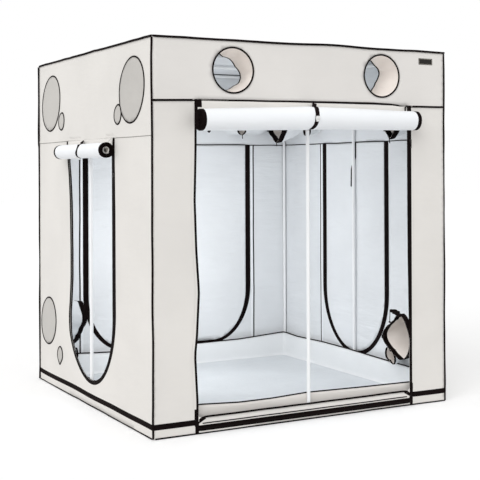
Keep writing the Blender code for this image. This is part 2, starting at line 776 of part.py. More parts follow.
def build_sleeves(frames):
    front = sleeve_mesh("front_sleeve", FRONT_VENT_RADIUS, FRONT_SLEEVE_LENGTH)
    lower = sleeve_mesh("lower_sleeve", LOWER_VENT_RADIUS, LOWER_SLEEVE_LENGTH)
    low_place = LOWER_VENT_MARGIN - HALF_DEPTH
    places = (
        ("vent_sleeve_front_left", front, "front", -FRONT_VENT_PLACE, FRONT_VENT_HEIGHT),
        ("vent_sleeve_front_right", front, "front", FRONT_VENT_PLACE, FRONT_VENT_HEIGHT),
        ("vent_sleeve_right_low", lower, "right", low_place, LOWER_VENT_HEIGHT),
        ("vent_sleeve_left_low", lower, "left", low_place, LOWER_VENT_HEIGHT),
    )
    for name, mesh, wall, u, v in places:
        sleeve = show(name, mesh, INNER_FABRIC, frames[wall])
        sleeve.location = (u, v, 0)


def build():
    frames = {wall: wall_frame(wall) for wall in WALL_TURNS}
    build_frame()
    build_hanger_bars()
    build_shell(frames)
    build_tray()
    build_doors(frames)
    build_zips(frames)
    build_sleeves(frames)


build()
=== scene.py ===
"""Looks of the indoor grow tent: its cloth, trim, tubes, light and camera.

Everything is in metres. A place on a wall is u to the right along the wall seen from outside, v up from the
ground and w off the wall's face. A table is a row of places and a row of the values at them.
"""

import math
from itertools import accumulate

import bmesh
import bpy
import numpy as np
from mathutils import Matrix, Vector, noise
from mathutils.geometry import delaunay_2d_cdt


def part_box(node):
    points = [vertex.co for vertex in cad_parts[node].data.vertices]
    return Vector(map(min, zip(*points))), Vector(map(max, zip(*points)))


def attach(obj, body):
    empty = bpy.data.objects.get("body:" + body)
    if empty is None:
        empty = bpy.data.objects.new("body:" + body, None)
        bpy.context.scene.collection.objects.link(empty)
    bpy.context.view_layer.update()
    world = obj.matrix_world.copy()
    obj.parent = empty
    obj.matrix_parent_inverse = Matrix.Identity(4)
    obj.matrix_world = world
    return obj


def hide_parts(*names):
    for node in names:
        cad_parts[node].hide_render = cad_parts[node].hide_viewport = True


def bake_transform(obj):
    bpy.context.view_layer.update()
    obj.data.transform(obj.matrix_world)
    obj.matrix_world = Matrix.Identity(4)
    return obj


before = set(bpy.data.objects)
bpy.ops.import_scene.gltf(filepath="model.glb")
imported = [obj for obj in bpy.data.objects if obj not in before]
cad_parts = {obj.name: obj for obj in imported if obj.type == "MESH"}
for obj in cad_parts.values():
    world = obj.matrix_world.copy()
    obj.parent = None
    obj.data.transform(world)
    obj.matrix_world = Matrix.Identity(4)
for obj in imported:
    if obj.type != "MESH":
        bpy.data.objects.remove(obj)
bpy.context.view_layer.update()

UP = Vector((0, 0, 1))
FULL_TURN = 2 * math.pi
MM = 0.001

# Sizes that the frame gives
FACE = -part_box("front_wall")[0].y
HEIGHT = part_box("roof_sheet")[1].z
SHEET_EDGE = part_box("roof_sheet")[1].x
SHEET_SIDE = FACE - 0.0022
FLOOR_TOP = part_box("floor_sheet")[1].z
FRONT_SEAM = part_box("front_zip")[1].z
SIDE_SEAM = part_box("left_zip")[1].z
FRONT_ROLL_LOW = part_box("front_door")[0].z
LEFT_ROLL_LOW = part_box("left_door")[0].z
TRAY_LOW, TRAY_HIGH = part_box("spill_tray")

# The four walls: the turn from the front, the header seam and the body of the door
TURNS = {"front": 0, "right": math.pi / 2, "back": math.pi, "left": -math.pi / 2}
SIDE_WALLS = ("left", "back", "right")
CORNERS = ((1, -1), (1, 1), (-1, 1), (-1, -1))
SEAMS = {wall: SIDE_SEAM if wall in SIDE_WALLS else FRONT_SEAM for wall in TURNS}
BODIES = {"front": "front_roll", "left": "left_roll", "back": "back_flap", "right": "right_flap"}

# Sizes of the doors and vents, repeated from the part's source
ZIP_WIDTH = 0.024
SILL_HEIGHT = 0.093
ROUNDS = {"front": (0.02, 0.02), "left": (None, 0.45), "right": (None, 0.45), "back": (0.30, 0.40)}
FLAP_GAP = 0.0006
FRONT_VENTS = ((-0.5, 2.031), (0.52, 2.037))
FRONT_VENT_RADIUS = 0.13
UPPER_VENT = (0.7225, 1.923, 0.185)
CABLE_VENT = (0.507, 1.7935, 0.0560)
LOWER_VENT = (-0.79, 0.438, 0.16)
DROP_VENT = (-0.556, 0.238, 0.052)
DROP_VENT_TIP = 0.07

# Cloth
SKIN = 0.0013
CLOTH_STEP = 0.024
HELD_WIDTH = 0.12
BILLOW = 0.0055
DRAG = 0.0016
INWARD = 0.0007
INNER_LIFT = -SKIN - 0.0012

# Piping and tape
EDGE_PIPING = 0.0062
SEAM_PIPING = 0.0042
RING_PIPING = 0.0032
COVER_PIPING = 0.0029
LINE_PIPING = 0.0027
TAPE = 0.0009
TAPE_CROWN = 0.0003
STITCH = 0.0002
SWAY = 0.0032


# Materials

WAVE_PERIOD = math.pi / 10
CLOUD_SCALE = 2.3
FOLD_SCALE = 3.2
FOLD_DEPTH = 0.012
GRAIN_SCALE = 60.0
GRAIN_SPREAD = 0.06
WEAVE_STRENGTH = 0.2
SMEAR_SCALE = 9.0
SMEAR_STRETCH = (1, 1, 0.25)
SMEAR_SHADE = 0.96
SPOT_SCALE = 90.0
SPOT_RANGE = (0.64, 0.72)


def set_inputs(tree, node, inputs):
    """Each input set to its value, or linked where the value is another node's output."""
    for key, value in inputs.items():
        if isinstance(value, bpy.types.NodeSocket):
            tree.links.new(value, node.inputs[key])
        else:
            node.inputs[key].default_value = value


def new_material(name):
    material = bpy.data.materials.new(name)
    material.use_nodes = True
    tree = material.node_tree
    return material, tree, tree.nodes["Principled BSDF"]


def linked(tree, kind, inputs=None, **settings):
    """A new node with its settings and inputs."""
    node = tree.nodes.new(kind)
    for key, value in settings.items():
        setattr(node, key, value)
    set_inputs(tree, node, inputs or {})
    return node


def maths(tree, operation, first, second):
    return linked(tree, "ShaderNodeMath", {0: first, 1: second}, operation=operation).outputs[0]


def noise_value(tree, place, scale, detail, stretch=None):
    """A noise's value at a place, finer along the axes that are stretched more."""
    if stretch:
        place = linked(tree, "ShaderNodeMapping", {"Vector": place, "Scale": stretch}).outputs[0]
    return linked(tree, "ShaderNodeTexNoise", {"Vector": place, "Scale": scale, "Detail": detail}).outputs[0]


def ranged(tree, value, low, high, start=0.3, end=0.7):
    """A value that runs from start to end, stretched to run from low to high."""
    inputs = {"Value": value, "From Min": start, "From Max": end, "To Min": low, "To Max": high}
    return linked(tree, "ShaderNodeMapRange", inputs).outputs[0]


def mixed_colour(tree, share, low, high):
    return linked(tree, "ShaderNodeMix", {0: share, 6: low, 7: high}, data_type="RGBA").outputs[2]


def bumped(tree, height, strength, distance, **under):
    inputs = {"Height": height, "Strength": strength, "Distance": distance, **under}
    return linked(tree, "ShaderNodeBump", inputs).outputs[0]


def weave_height(tree, pitch):
    """The height of a plain weave over the cloth's own coordinates."""
    place = linked(tree, "ShaderNodeUVMap", uv_map="cloth").outputs[0]
    inputs = {"Vector": place, "Scale": WAVE_PERIOD / pitch, "Distortion": 0.3}
    threads = [linked(tree, "ShaderNodeTexWave", inputs, bands_direction=direction).outputs["Fac"]
               for direction in ("X", "Y")]
    return maths(tree, "MULTIPLY", *threads)


def cloth_material(name, colour, pitch, roughness, spread=0.03, crease=0.35, gloss=0.3, stretch=(1, 1, 3)):
    """Woven cloth: uneven colour, threads, soft creases and a roughness that varies."""
    material, tree, shader = new_material(name)
    place = linked(tree, "ShaderNodeTexCoord").outputs["Object"]
    cloud = noise_value(tree, place, CLOUD_SCALE, 4.0)
    grain = noise_value(tree, place, GRAIN_SCALE, 2.0)
    dark = tuple(part * (1 - spread) for part in colour) + (1,)
    light = tuple(min(part * (1 + spread), 1) for part in colour) + (1,)
    folds = bumped(tree, noise_value(tree, place, FOLD_SCALE, 4.0, stretch), crease, FOLD_DEPTH)
    set_inputs(tree, shader, {
        "Base Color": mixed_colour(tree, ranged(tree, cloud, 0, 1), dark, light),
        "Roughness": ranged(tree, grain, roughness - GRAIN_SPREAD, roughness + GRAIN_SPREAD),
        "Normal": bumped(tree, weave_height(tree, pitch), WEAVE_STRENGTH, pitch / 3, Normal=folds),
        "Specular IOR Level": gloss,
    })
    return material


def hard_material(name, colour, roughness, grain, grain_depth, worn=None, metallic=0.0, coat=0.0, gloss=0.5):
    """A painted or moulded surface: fine grain, faint smears, and worn spots where they have a colour."""
    material, tree, shader = new_material(name)
    place = linked(tree, "ShaderNodeTexCoord").outputs["Object"]
    smear = noise_value(tree, place, SMEAR_SCALE, 4.0, SMEAR_STRETCH)
    dark = tuple(part * SMEAR_SHADE for part in colour) + (1,)
    base = mixed_colour(tree, ranged(tree, smear, 0, 1), dark, tuple(colour) + (1,))
    if worn:
        spots = ranged(tree, noise_value(tree, place, SPOT_SCALE, 5.0), 0, 1, *SPOT_RANGE)
        base = mixed_colour(tree, spots, base, tuple(worn) + (1,))
    set_inputs(tree, shader, {
        "Base Color": base,
        "Roughness": ranged(tree, smear, roughness - 0.05, roughness + 0.08),
        "Normal": bumped(tree, noise_value(tree, place, grain, 2.0), 0.25, grain_depth),
        "Metallic": metallic,
        "Coat Weight": coat,
        "Specular IOR Level": gloss,
    })
    return material


OUTER = cloth_material("coated_cream_weave", (0.80, 0.775, 0.74), 0.0011, 0.62)
HEADER = cloth_material("header_cream_weave", (0.79, 0.765, 0.735), 0.0011, 0.62)
LINING = cloth_material("white_lining", (0.80, 0.82, 0.84), 0.0008, 0.45, 0.04, 0.8, stretch=(1, 1, 5))
# The rolled doors' inner side is the same white lining as inside the tent, painted lighter for the roll in the
# open light: painted light. The pale strips beside the taped seams inside take this lighter lining too.
LINING_PAINTED_LIGHTER = cloth_material("white_lining_painted_lighter", (0.93, 0.95, 0.975), 0.0008, 0.45, 0.02, 0.5,
                             stretch=(1, 3, 3))
COVER = cloth_material("grey_vent_cover", (0.57, 0.55, 0.52), 0.0010, 0.6, 0.05, 0.6)
# The sleeves' beige is painted much lighter than the cloth is: painted light in place of the light that the
# shaded sleeves miss. The covers' inner sides take it too.
SLEEVE_PAINTED_LIGHT = cloth_material("beige_sleeve_painted_light", (0.95, 0.885, 0.83), 0.0009, 0.6, 0.03, 0.9)
# A dark grey line just under each side header fold: painted shadow of the fold.
FOLD_SHADOW_PAINT = cloth_material("fold_painted_shadow", (0.24, 0.23, 0.21), 0.0009, 0.6, 0.1, 0.2)
TRAY = cloth_material("grey_tray_sheet", (0.70, 0.73, 0.755), 0.0012, 0.4, 0.05, 0.8, stretch=(1, 2, 1))
# The tray's upright walls are the same sheet as its floor, painted lighter: painted light.
TRAY_WALL_PAINTED_LIGHT = cloth_material("tray_wall_painted_light", (0.88, 0.895, 0.905), 0.0012, 0.5, 0.03, 0.5)
TRAY_SIDE = cloth_material("beige_tray_side", (0.80, 0.765, 0.73), 0.0012, 0.5, 0.03, 0.5)
TRIM = cloth_material("black_trim_tape", (0.007, 0.004, 0.004), 0.0012, 0.8, 0.4, 0.2, 0.05)
PATCH = cloth_material("dark_patch_weave", (0.018, 0.016, 0.014), 0.0009, 0.6, 0.2, 0.2, 0.2)
PATCH_EDGE = cloth_material("patch_stitch", (0.45, 0.42, 0.36), 0.0009, 0.6, 0.2, 0.2)
CORD = cloth_material("black_cord", (0.012, 0.009, 0.008), 0.0008, 0.7, 0.3, 0.2, 0.15)
PALE_CORD = cloth_material("pale_elastic_cord", (0.70, 0.69, 0.66), 0.0008, 0.7, 0.1, 0.2)
CHAIN = hard_material("black_zip_chain", (0.008, 0.006, 0.006), 0.55, 600, 0.0002, gloss=0.12)
TUBE_PAINT = hard_material("white_powder_coat", (0.94, 0.95, 0.96), 0.38, 700, 0.0003, coat=0.1)
FITTING_PLASTIC = hard_material("white_moulded_plastic", (0.84, 0.85, 0.86), 0.48, 350, 0.0003)
ENAMEL = hard_material("black_enamel", (0.02, 0.017, 0.016), 0.38, 500, 0.0002, (0.25, 0.24, 0.22), 0.3)
BUCKLE = hard_material("pale_buckle_plastic", (0.88, 0.88, 0.87), 0.4, 300, 0.0003)


# Shapes

def reworked(mesh, operation):
    """The mesh changed in place by an operation on its bmesh."""
    bm = bmesh.new()
    bm.from_mesh(mesh)
    operation(bm)
    bm.to_mesh(mesh)
    bm.free()


class Shape:
    """Points, faces, cloth coordinates and finishes gathered into one piece."""

    def __init__(self):
        self.points = []
        self.faces = []
        self.places = []
        self.finishes = []

    def add(self, points, faces, places, finish=0):
        """Places are the cloth coordinates of the faces' corners; finish is one number, or one a face."""
        first = len(self.points)
        self.points += [tuple(point) for point in points]
        self.faces += [tuple(first + corner for corner in face) for face in faces]
        for face_places in places:
            self.places += face_places
        self.finishes += [finish] * len(faces) if isinstance(finish, int) else list(finish)

    def piece(self, name, finishes, closed=True):
        mesh = bpy.data.meshes.new(name)
        mesh.from_pydata(self.points, [], self.faces)
        for finish in finishes:
            mesh.materials.append(finish)
        mesh.polygons.foreach_set("material_index", self.finishes)
        mesh.polygons.foreach_set("use_smooth", [True] * len(self.faces))
        layer = mesh.uv_layers.new(name="cloth")
        layer.uv.foreach_set("vector", np.array(self.places, np.float32).ravel())
        if closed:
            reworked(mesh, lambda bm: bmesh.ops.recalc_face_normals(bm, faces=bm.faces))
        mesh.set_sharp_from_angle(angle=math.radians(40))
        obj = bpy.data.objects.new(name, mesh)
        bpy.context.scene.collection.objects.link(obj)
        return obj


def thickened(obj, thickness=SKIN, offset=-1.0, back=1):
    """The open sheet made solid; its other side takes the finish that comes back places later."""
    modifier = obj.modifiers.new("thickness", "SOLIDIFY")
    modifier.thickness = thickness
    modifier.offset = offset
    modifier.material_offset = back
    modifier.material_offset_rim = 0
    modifier.use_quality_normals = True
    graph = bpy.context.evaluated_depsgraph_get()
    solid = bpy.data.meshes.new_from_object(obj.evaluated_get(graph))
    obj.modifiers.clear()
    obj.data = solid
    return obj


def finished(obj, body, slot, *nodes):
    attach(obj, body)
    if nodes:
        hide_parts(*nodes)
    return obj


def add_trim(shape, name, *nodes, body="tent", finishes=(TRIM,)):
    return finished(shape.piece(name, finishes), body, "trim_black", *nodes)


def smooth_step(value):
    value = min(max(value, 0), 1)
    return value * value * (3 - 2 * value)


def read(table, place):
    return float(np.interp(place, *table))


def wobble(*place):
    """Smooth noise from -1 to 1."""
    return noise.noise(Vector(tuple(place) + (0.37,) * (3 - len(place))))


def sway(place, seed, reach=SWAY):
    """A slow wander and a small one, for lines that were sewn by hand."""
    return reach * (wobble(place * 2.6, seed) + 0.4 * wobble(place * 8, seed + 4))


def reaches_along(line):
    """The distance along a line of points up to each of them."""
    return list(accumulate((math.dist(start, end) for start, end in zip(line, line[1:])), initial=0.0))


def spaced(line, step, closed=False):
    """Evenly spaced points along a line of points."""
    points = np.array([tuple(point) for point in line] + ([tuple(line[0])] if closed else []), float)
    reach = np.array(reaches_along(points))
    count = max(2, round(reach[-1] / step))
    places = np.linspace(0, reach[-1], count + 1)
    if closed:
        places = places[:-1]
    return np.stack([np.interp(places, reach, axis) for axis in points.T], 1)


def divided(line, step, closed=False):
    """A line with points added so that none are further apart than step."""
    points = []
    ends = line[1:] + line[:1] if closed else line[1:]
    for start, end in zip(line, ends):
        count = max(1, math.ceil(math.dist(start, end) / step))
        (u, v), along, up = start, end[0] - start[0], end[1] - start[1]
        points += [(u + along * part / count, v + up * part / count) for part in range(count)]
    return points if closed else points + [line[-1]]


def directions(points, closed=False):
    if closed:
        steps = np.roll(points, -1, 0) - np.roll(points, 1, 0)
    else:
        steps = np.gradient(points, axis=0)
    return steps / np.maximum(np.linalg.norm(steps, axis=1, keepdims=True), 1e-9)


def grid_faces(rows, columns, ring=False, loop=False):
    """Faces between rows of points; a ring joins each row's ends, and a loop the last row to the first."""
    faces = []
    for row in range(rows if loop else rows - 1):
        near = row * columns
        far = (row + 1) % rows * columns
        for column in range(columns if ring else columns - 1):
            beside = (column + 1) % columns
            faces.append((near + column, near + beside, far + beside, far + column))
    return faces


def grid_places(columns, rows, turned=False):
    """Cloth coordinates of the same faces, from how far each column and row is; turned, columns come first."""
    places = [[(low, near), (low, far), (high, far), (high, near)]
              for low, high in zip(rows, rows[1:]) for near, far in zip(columns, columns[1:])]
    return [[place[::-1] for place in face] for face in places] if turned else places


def round_section(radius, sides, stretch=1.0):
    turns = [FULL_TURN * step / sides for step in range(sides)]
    return [(radius * stretch * math.cos(turn), radius * math.sin(turn)) for turn in turns]


def tape_section(half, thickness=TAPE, crown=0.0):
    """A flat tape, a little thicker along its middle."""
    return [(-half, 0), (0, 0), (half, 0), (half, thickness), (half / 2, thickness + crown),
            (-half / 2, thickness + crown), (-half, thickness)]


def piping_section(radius, side):
    """A cord in folded tape, with the flat tape that is sewn down beside it, in shares of its radius."""
    turns = [math.radians(angle) for angle in range(-140, 181, 40)]
    cord = [(math.cos(turn), 0.5 + math.sin(turn)) for turn in turns]
    flange = [(-2.0, 0.12), (-2.0, -0.06)]
    return [(side * radius * across, radius * lift) for across, lift in cord + flange]


def swept(shape, path, across, above, section, finish=0, closed=False):
    """The section carried along a path; across and above are its directions at each point of the path."""
    points = []
    for place, side, top in zip(path, across, above):
        points += [Vector(place) + Vector(side) * a + Vector(top) * b for a, b in section]
    ring = len(section)
    faces = grid_faces(len(path), ring, ring=True, loop=closed)
    places = grid_places(reaches_along(section + section[:1]),
                         reaches_along(path + path[:1] if closed else path))
    if not closed:
        for first in (0, (len(path) - 1) * ring):
            faces.append(tuple(range(first, first + ring)))
            places.append(section)
    shape.add(points, faces, places, finish)


def tube(shape, line, radius, sides=8, closed=False):
    """A round tube along points in space."""
    ahead = directions(np.array([tuple(point) for point in line]), closed)
    across = []
    above = []
    side = Vector(ahead[0]).orthogonal().normalized()
    for step in ahead:
        forward = Vector(step)
        side = (side - forward * side.dot(forward)).normalized()
        across.append(side)
        above.append(forward.cross(side))
    swept(shape, list(line), across, above, round_section(radius, sides), closed=closed)


def rounded_block(shape, centre, along, up, out, size, bevel):
    """A block with rounded edges, square to the given directions."""
    bm = bmesh.new()
    bmesh.ops.create_cube(bm, size=1)
    bmesh.ops.scale(bm, vec=size, verts=bm.verts)
    bmesh.ops.bevel(bm, geom=bm.edges, offset=bevel, segments=3, profile=0.5, affect="EDGES")
    points = [centre + along * vert.co.x + up * vert.co.y + out * vert.co.z for vert in bm.verts]
    faces = [[vert.index for vert in face.verts] for face in bm.faces]
    places = [[(vert.co.x, vert.co.y) for vert in face.verts] for face in bm.faces]
    bm.free()
    shape.add(points, faces, places)


# Places on the walls

ROUND_STEPS = 16
TEARDROP_SIDES = 24


def wall_axes(wall):
    turn = TURNS[wall]
    return Vector((math.cos(turn), math.sin(turn), 0)), Vector((math.sin(turn), -math.cos(turn), 0))


def at_wall(wall, u, v, w):
    along, out = wall_axes(wall)
    return along * u + out * (FACE + w) + UP * v


def span(wall, node):
    """A node's reach along a wall."""
    along, _ = wall_axes(wall)
    low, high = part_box(node)
    return sorted((low.dot(along), high.dot(along)))


def rectangle(left, low, right, high):
    return [(left, low), (right, low), (right, high), (left, high)]


def circle(u, v, radius, sides=72):
    turns = [FULL_TURN * step / sides for step in range(sides)]
    return [(u + radius * math.cos(turn), v + radius * math.sin(turn)) for turn in turns]


def teardrop(u, v, radius, tip):
    shoulder = math.pi / 6
    reach = math.pi + 2 * shoulder
    turns = [-shoulder + reach * step / TEARDROP_SIDES for step in range(TEARDROP_SIDES + 1)]
    return [(u + radius * math.cos(turn), v + radius * math.sin(turn)) for turn in turns] + [(u, v - tip)]


def u_path(centre, half, top, foot, round_width, round_height):
    """A door's edge with rounded lower corners, from its upper left down and round to its upper right."""
    left = []
    for step in range(ROUND_STEPS + 1):
        turn = math.pi / 2 * step / ROUND_STEPS
        left.append((centre - half + round_width * (1 - math.cos(turn)),
                     foot + round_height * (1 - math.sin(turn))))
    right = [(2 * centre - u, v) for u, v in reversed(left)]
    if round_width >= half:
        right = right[1:]
    return [(centre - half, top)] + left + right + [(centre + half, top)]


# How far the far edge of each open door sways, by height
SWAY_STEP = 0.04
EDGE_SWAY = {
    "front": ((0.03, 0.19, 0.44, 0.55, 0.79, 1.02, 1.30, 1.58, 1.86),
              (-0.004, -0.003, -0.016, -0.004, 0.009, -0.006, -0.015, -0.008, -0.006)),
    "left": ((0.15, 0.30, 0.42, 0.52, 0.62, 0.76, 0.95, 1.28, 1.44, 1.54, 1.66),
             (0.0, -0.024, -0.030, -0.010, 0.016, 0.034, 0.036, 0.026, 0.006, -0.016, 0.0)),
}


def door_path(wall, outset, foot=None, top=None):
    """The line that runs round a door, outset from its hole's edge; an open door's far edge sways."""
    low, high = span(wall, wall + "_zip")
    centre = (low + high) / 2
    half = (high - low) / 2 - ZIP_WIDTH + outset
    width, height = ROUNDS[wall]
    width = half if width is None else width + outset
    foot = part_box(wall + "_zip")[0].z + ZIP_WIDTH - outset if foot is None else foot
    line = u_path(centre, half, SEAMS[wall] if top is None else top, foot, width, height + outset)
    if wall not in EDGE_SWAY:
        return line
    return [(u + smooth_step(2 * (centre - u) / half) * read(EDGE_SWAY[wall], v), v)
            for u, v in divided(line, SWAY_STEP)]


DOOR_LINES = {wall: spaced(door_path(wall, 0), 0.03) for wall in TURNS}


def nearest(line, u, v):
    """How far the nearest of a line's points is."""
    gaps = line - (u, v)
    return math.sqrt((gaps * gaps).sum(1).min())


def relief(wall, u, v):
    """How far a wall's cloth stands off its plane: flat where it is held, slack between."""
    to_held = min(FACE - abs(u), v, HEIGHT - v, nearest(DOOR_LINES[wall], u, v), abs(v - SEAMS[wall]))
    seed = 3 * TURNS[wall] + 5
    broad = BILLOW * (0.4 + wobble(u * 1.5, v * 1.2, seed))
    drag = DRAG * (wobble(u * 2 + v, v * 8, seed + 3) + 0.6 * wobble(u * 9, v * 3, seed + 7))
    return max(-INWARD, smooth_step(to_held / HELD_WIDTH) * (broad + drag))


def on_wall(wall, line, step, lift, wave=0.0, closed=False):
    """Points along a line on a wall's cloth, with the directions across the line and off the wall."""
    points = spaced(line, step, closed)
    along, out = wall_axes(wall)
    path = []
    across = []
    for (u, v), (du, dv) in zip(points, directions(points, closed)):
        shift = wave * wobble(u * 6, v * 6, 2 * TURNS[wall] + 11)
        u += dv * shift
        v -= du * shift
        path.append(at_wall(wall, u, v, relief(wall, u, v) + lift))
        across.append(along * dv - UP * du)
    return path, across, [out] * len(path)


def wall_tape(shape, wall, line, width, lift=STITCH, thickness=TAPE, finish=0, step=0.02, crown=TAPE_CROWN,
              closed=False):
    path, across, above = on_wall(wall, line, step, lift, closed=closed)
    swept(shape, path, across, above, tape_section(width / 2, thickness, crown), finish, closed)


def inner_tape(shape, wall, line, width, finish=0, step=0.02):
    """A flat tape on the wall's inside."""
    path, across, above = on_wall(wall, line, step, INNER_LIFT)
    swept(shape, path, across, above, tape_section(width / 2), finish)


def wall_piping(shape, wall, line, radius, step=0.02, wave=0.0, closed=False, side=1, lift=0.0):
    path, across, above = on_wall(wall, line, step, lift, wave, closed)
    swept(shape, path, across, above, piping_section(radius, side), closed=closed)


# Cloth

EDGE_CLEAR_SHARE = 0.55
BATCH = 2000
MERGE_REACH = 1e-7


def inside(points, ring):
    """Which points lie inside a closed line."""
    x, y = points[:, 0], points[:, 1]
    hit = np.zeros(len(points), bool)
    for (x0, y0), (x1, y1) in zip(ring, np.roll(ring, -1, 0)):
        crosses = (y0 > y) != (y1 > y)
        hit ^= crosses & (x < (x1 - x0) * (y - y0) / ((y1 - y0) or 1) + x0)
    return hit


def on_cloth(points, rings):
    """Which points lie inside the first ring and outside the others."""
    keep = inside(points, np.array(rings[0]))
    for ring in rings[1:]:
        keep &= ~inside(points, np.array(ring))
    return keep


def grid_points(rings, step):
    """Points in staggered rows over the cloth, away from its edges."""
    edge = np.array([point for ring in rings for point in ring])
    low, high = edge.min(0), edge.max(0)
    columns = np.arange(low[0] + step / 2, high[0], step)
    rows = np.arange(low[1] + step / 2, high[1], step)
    grid = np.array([(u + number % 2 * step / 2, v) for number, v in enumerate(rows) for u in columns])
    grid = grid[on_cloth(grid, rings)]
    points = []
    for start in range(0, len(grid), BATCH):
        part = grid[start:start + BATCH]
        gaps = np.linalg.norm(part[:, None] - edge[None], axis=2).min(1)
        points += [tuple(point) for point in part[gaps > step * EDGE_CLEAR_SHARE]]
    return points


def cloth_grid(outline, holes, step):
    """Triangles over an outline less its holes, as flat points and faces."""
    rings = [divided(ring, step, closed=True) for ring in [outline] + holes]
    points = [point for ring in rings for point in ring]
    edges = []
    first = 0
    for ring in rings:
        edges += [(first + number, first + (number + 1) % len(ring)) for number in range(len(ring))]
        first += len(ring)
    points += grid_points(rings, step)
    solved = delaunay_2d_cdt([Vector(point) for point in points], edges, [], 0, MERGE_REACH)
    flat = np.array([tuple(point) for point in solved[0]])
    faces = np.array(solved[2])
    return flat, faces[on_cloth(flat[faces].mean(1), rings)]


def add_cloth(shape, outline, holes, step, surface, finish=0):
    """Cloth over an outline less its holes, lifted to its surface; finish may be worked out for each face."""
    flat, faces = cloth_grid(outline, holes, step)
    points = [surface(u, v) for u, v in flat]
    places = [[tuple(flat[corner]) for corner in face] for face in faces]
    finishes = [finish(*flat[face].mean(0)) for face in faces] if callable(finish) else finish
    shape.add(points, faces.tolist(), places, finishes)


def area_of(ring):
    x, y = np.array(ring, float).T
    return abs(np.dot(x, np.roll(y, -1)) - np.dot(y, np.roll(x, -1))) / 2


RISE = 0.008
RISE_PLACE = 0.17
RISE_WIDTH = 0.2
RISE_DEPTH = 0.3
TOP_FADE = 0.1


def front_rise(x, y):
    """How far the roof's front edge is drawn up, most just right of its middle."""
    near = smooth_step((RISE_DEPTH - FACE - y) / RISE_DEPTH)
    return RISE * math.exp(-((x - RISE_PLACE) / RISE_WIDTH) ** 2) * near


def make_wall(wall):
    """A wall's cloth with its doorway; the front's header is another weave, with open vents."""
    front = wall == "front"
    low, high = FACE - SHEET_SIDE, HEIGHT - FACE + SHEET_SIDE
    outline = rectangle(-SHEET_SIDE, low, SHEET_SIDE, high)
    holes = [door_path(wall, 0, SILL_HEIGHT if front else None)]
    if front:
        holes += [circle(u, v, FRONT_VENT_RADIUS) for u, v in FRONT_VENTS]

    def surface(u, v):
        rise = front_rise(u, -FACE) * smooth_step((v - HEIGHT + TOP_FADE) / TOP_FADE) if front else 0
        return at_wall(wall, u, v + rise, relief(wall, u, v))

    shape = Shape()
    add_cloth(shape, outline, holes, CLOTH_STEP, surface, lambda u, v: 1 if front and v > FRONT_SEAM else 0)
    sheet = thickened(shape.piece(wall + "_wall_cloth", [OUTER, HEADER, LINING, LINING], closed=False), back=2)
    finished(sheet, "tent", "outer_fabric", wall + "_wall")
    left = area_of(outline) - sum(area_of(hole) for hole in holes)


def make_walls():
    for wall in TURNS:
        make_wall(wall)


ROOF_SLACK = 0.0006
ROOF_WAVE = 0.0014
ROOF_SEAM = 0.33


def roof_height(x, y):
    """A little slack between the roof's edges, and its front edge drawn up."""
    free = smooth_step((FACE - max(abs(x), abs(y))) / HELD_WIDTH)
    return HEIGHT + free * (ROOF_SLACK + ROOF_WAVE * wobble(x * 2, y * 2, 40)) + front_rise(x, y)


def floor_height(x, y):
    return FLOOR_TOP - 0.0002 + 0.0001 * wobble(x * 5, y * 5, 43)


def make_roof_and_floor():
    square = rectangle(-SHEET_EDGE, -SHEET_EDGE, SHEET_EDGE, SHEET_EDGE)
    for name, height, finishes, slot, held, rests in (
            ("roof", roof_height, [OUTER, LINING], "outer_fabric", "stretched", "top_rail_front"),
            ("floor", floor_height, [LINING, OUTER], "inner_fabric", "laid", "bottom_rail_front")):
        shape = Shape()
        add_cloth(shape, square, [], CLOTH_STEP * 2, lambda x, y: Vector((x, y, height(x, y))))
        sheet = thickened(shape.piece(name + "_cloth", finishes, closed=False))
        finished(sheet, "tent", slot, name + "_sheet")


def make_roof_seams():
    """The roof's two sewn seams, under a narrow tape."""
    shape = Shape()
    for x in (-ROOF_SEAM, ROOF_SEAM):
        path = [Vector((x, y, roof_height(x, y) + 0.0004)) for y in np.linspace(-SHEET_EDGE, SHEET_EDGE, 40)]
        swept(shape, path, [Vector((1, 0, 0))] * len(path), [UP] * len(path),
              tape_section(0.008, 0.0006, TAPE_CROWN))
    finished(shape.piece("roof_seam_tapes", [OUTER]), "tent", "outer_fabric")


# The tray, and its rim's height along each side

TRAY_HALF = TRAY_HIGH.x - 0.001
TRAY_FLOOR = TRAY_LOW.z + SKIN + 0.0004
TRAY_STEP = 0.025
TRAY_CORNER = 0.03
TRAY_CORNER_STEPS = 5
TRAY_ROWS = 7
TRAY_ROW = 0.022
TRAY_SLUMP = 0.006
TRAY_RIMS = {
    "front": ((-0.97, -0.70, -0.45, -0.23, 0, 0.39, 0.77, 0.97),
              (0.158, 0.158, 0.1435, 0.144, 0.153, 0.145, 0.140, 0.150)),
    "right": ((-0.97, -0.70, -0.31, 0.06, 0.39, 0.77, 0.97),
              (0.150, 0.168, 0.175, 0.184, 0.187, 0.178, 0.188)),
    "back": ((-0.97, -0.73, -0.50, 0, 0.57, 0.97), (0.160, 0.163, 0.152, 0.157, 0.162, 0.188)),
    "left": ((-0.97, 0, 0.97), (0.158, 0.152, 0.160)),
}


def tray_rim(x, y):
    if abs(y) > abs(x):
        side, place = ("front" if y < 0 else "back"), x
    else:
        side, place = ("left" if x < 0 else "right"), y
    return read(TRAY_RIMS[side], place) - 0.001


def tray_perimeter():
    """The tray's outline, with rounded corners."""
    middle = TRAY_HALF - TRAY_CORNER
    line = []
    for quarter, (x, y) in enumerate(CORNERS):
        for part in range(TRAY_CORNER_STEPS + 1):
            turn = math.pi / 2 * (quarter - 1 + part / TRAY_CORNER_STEPS)
            line.append((middle * x + TRAY_CORNER * math.cos(turn), middle * y + TRAY_CORNER * math.sin(turn)))
    return [tuple(point) for point in spaced(line, TRAY_STEP, closed=True)]


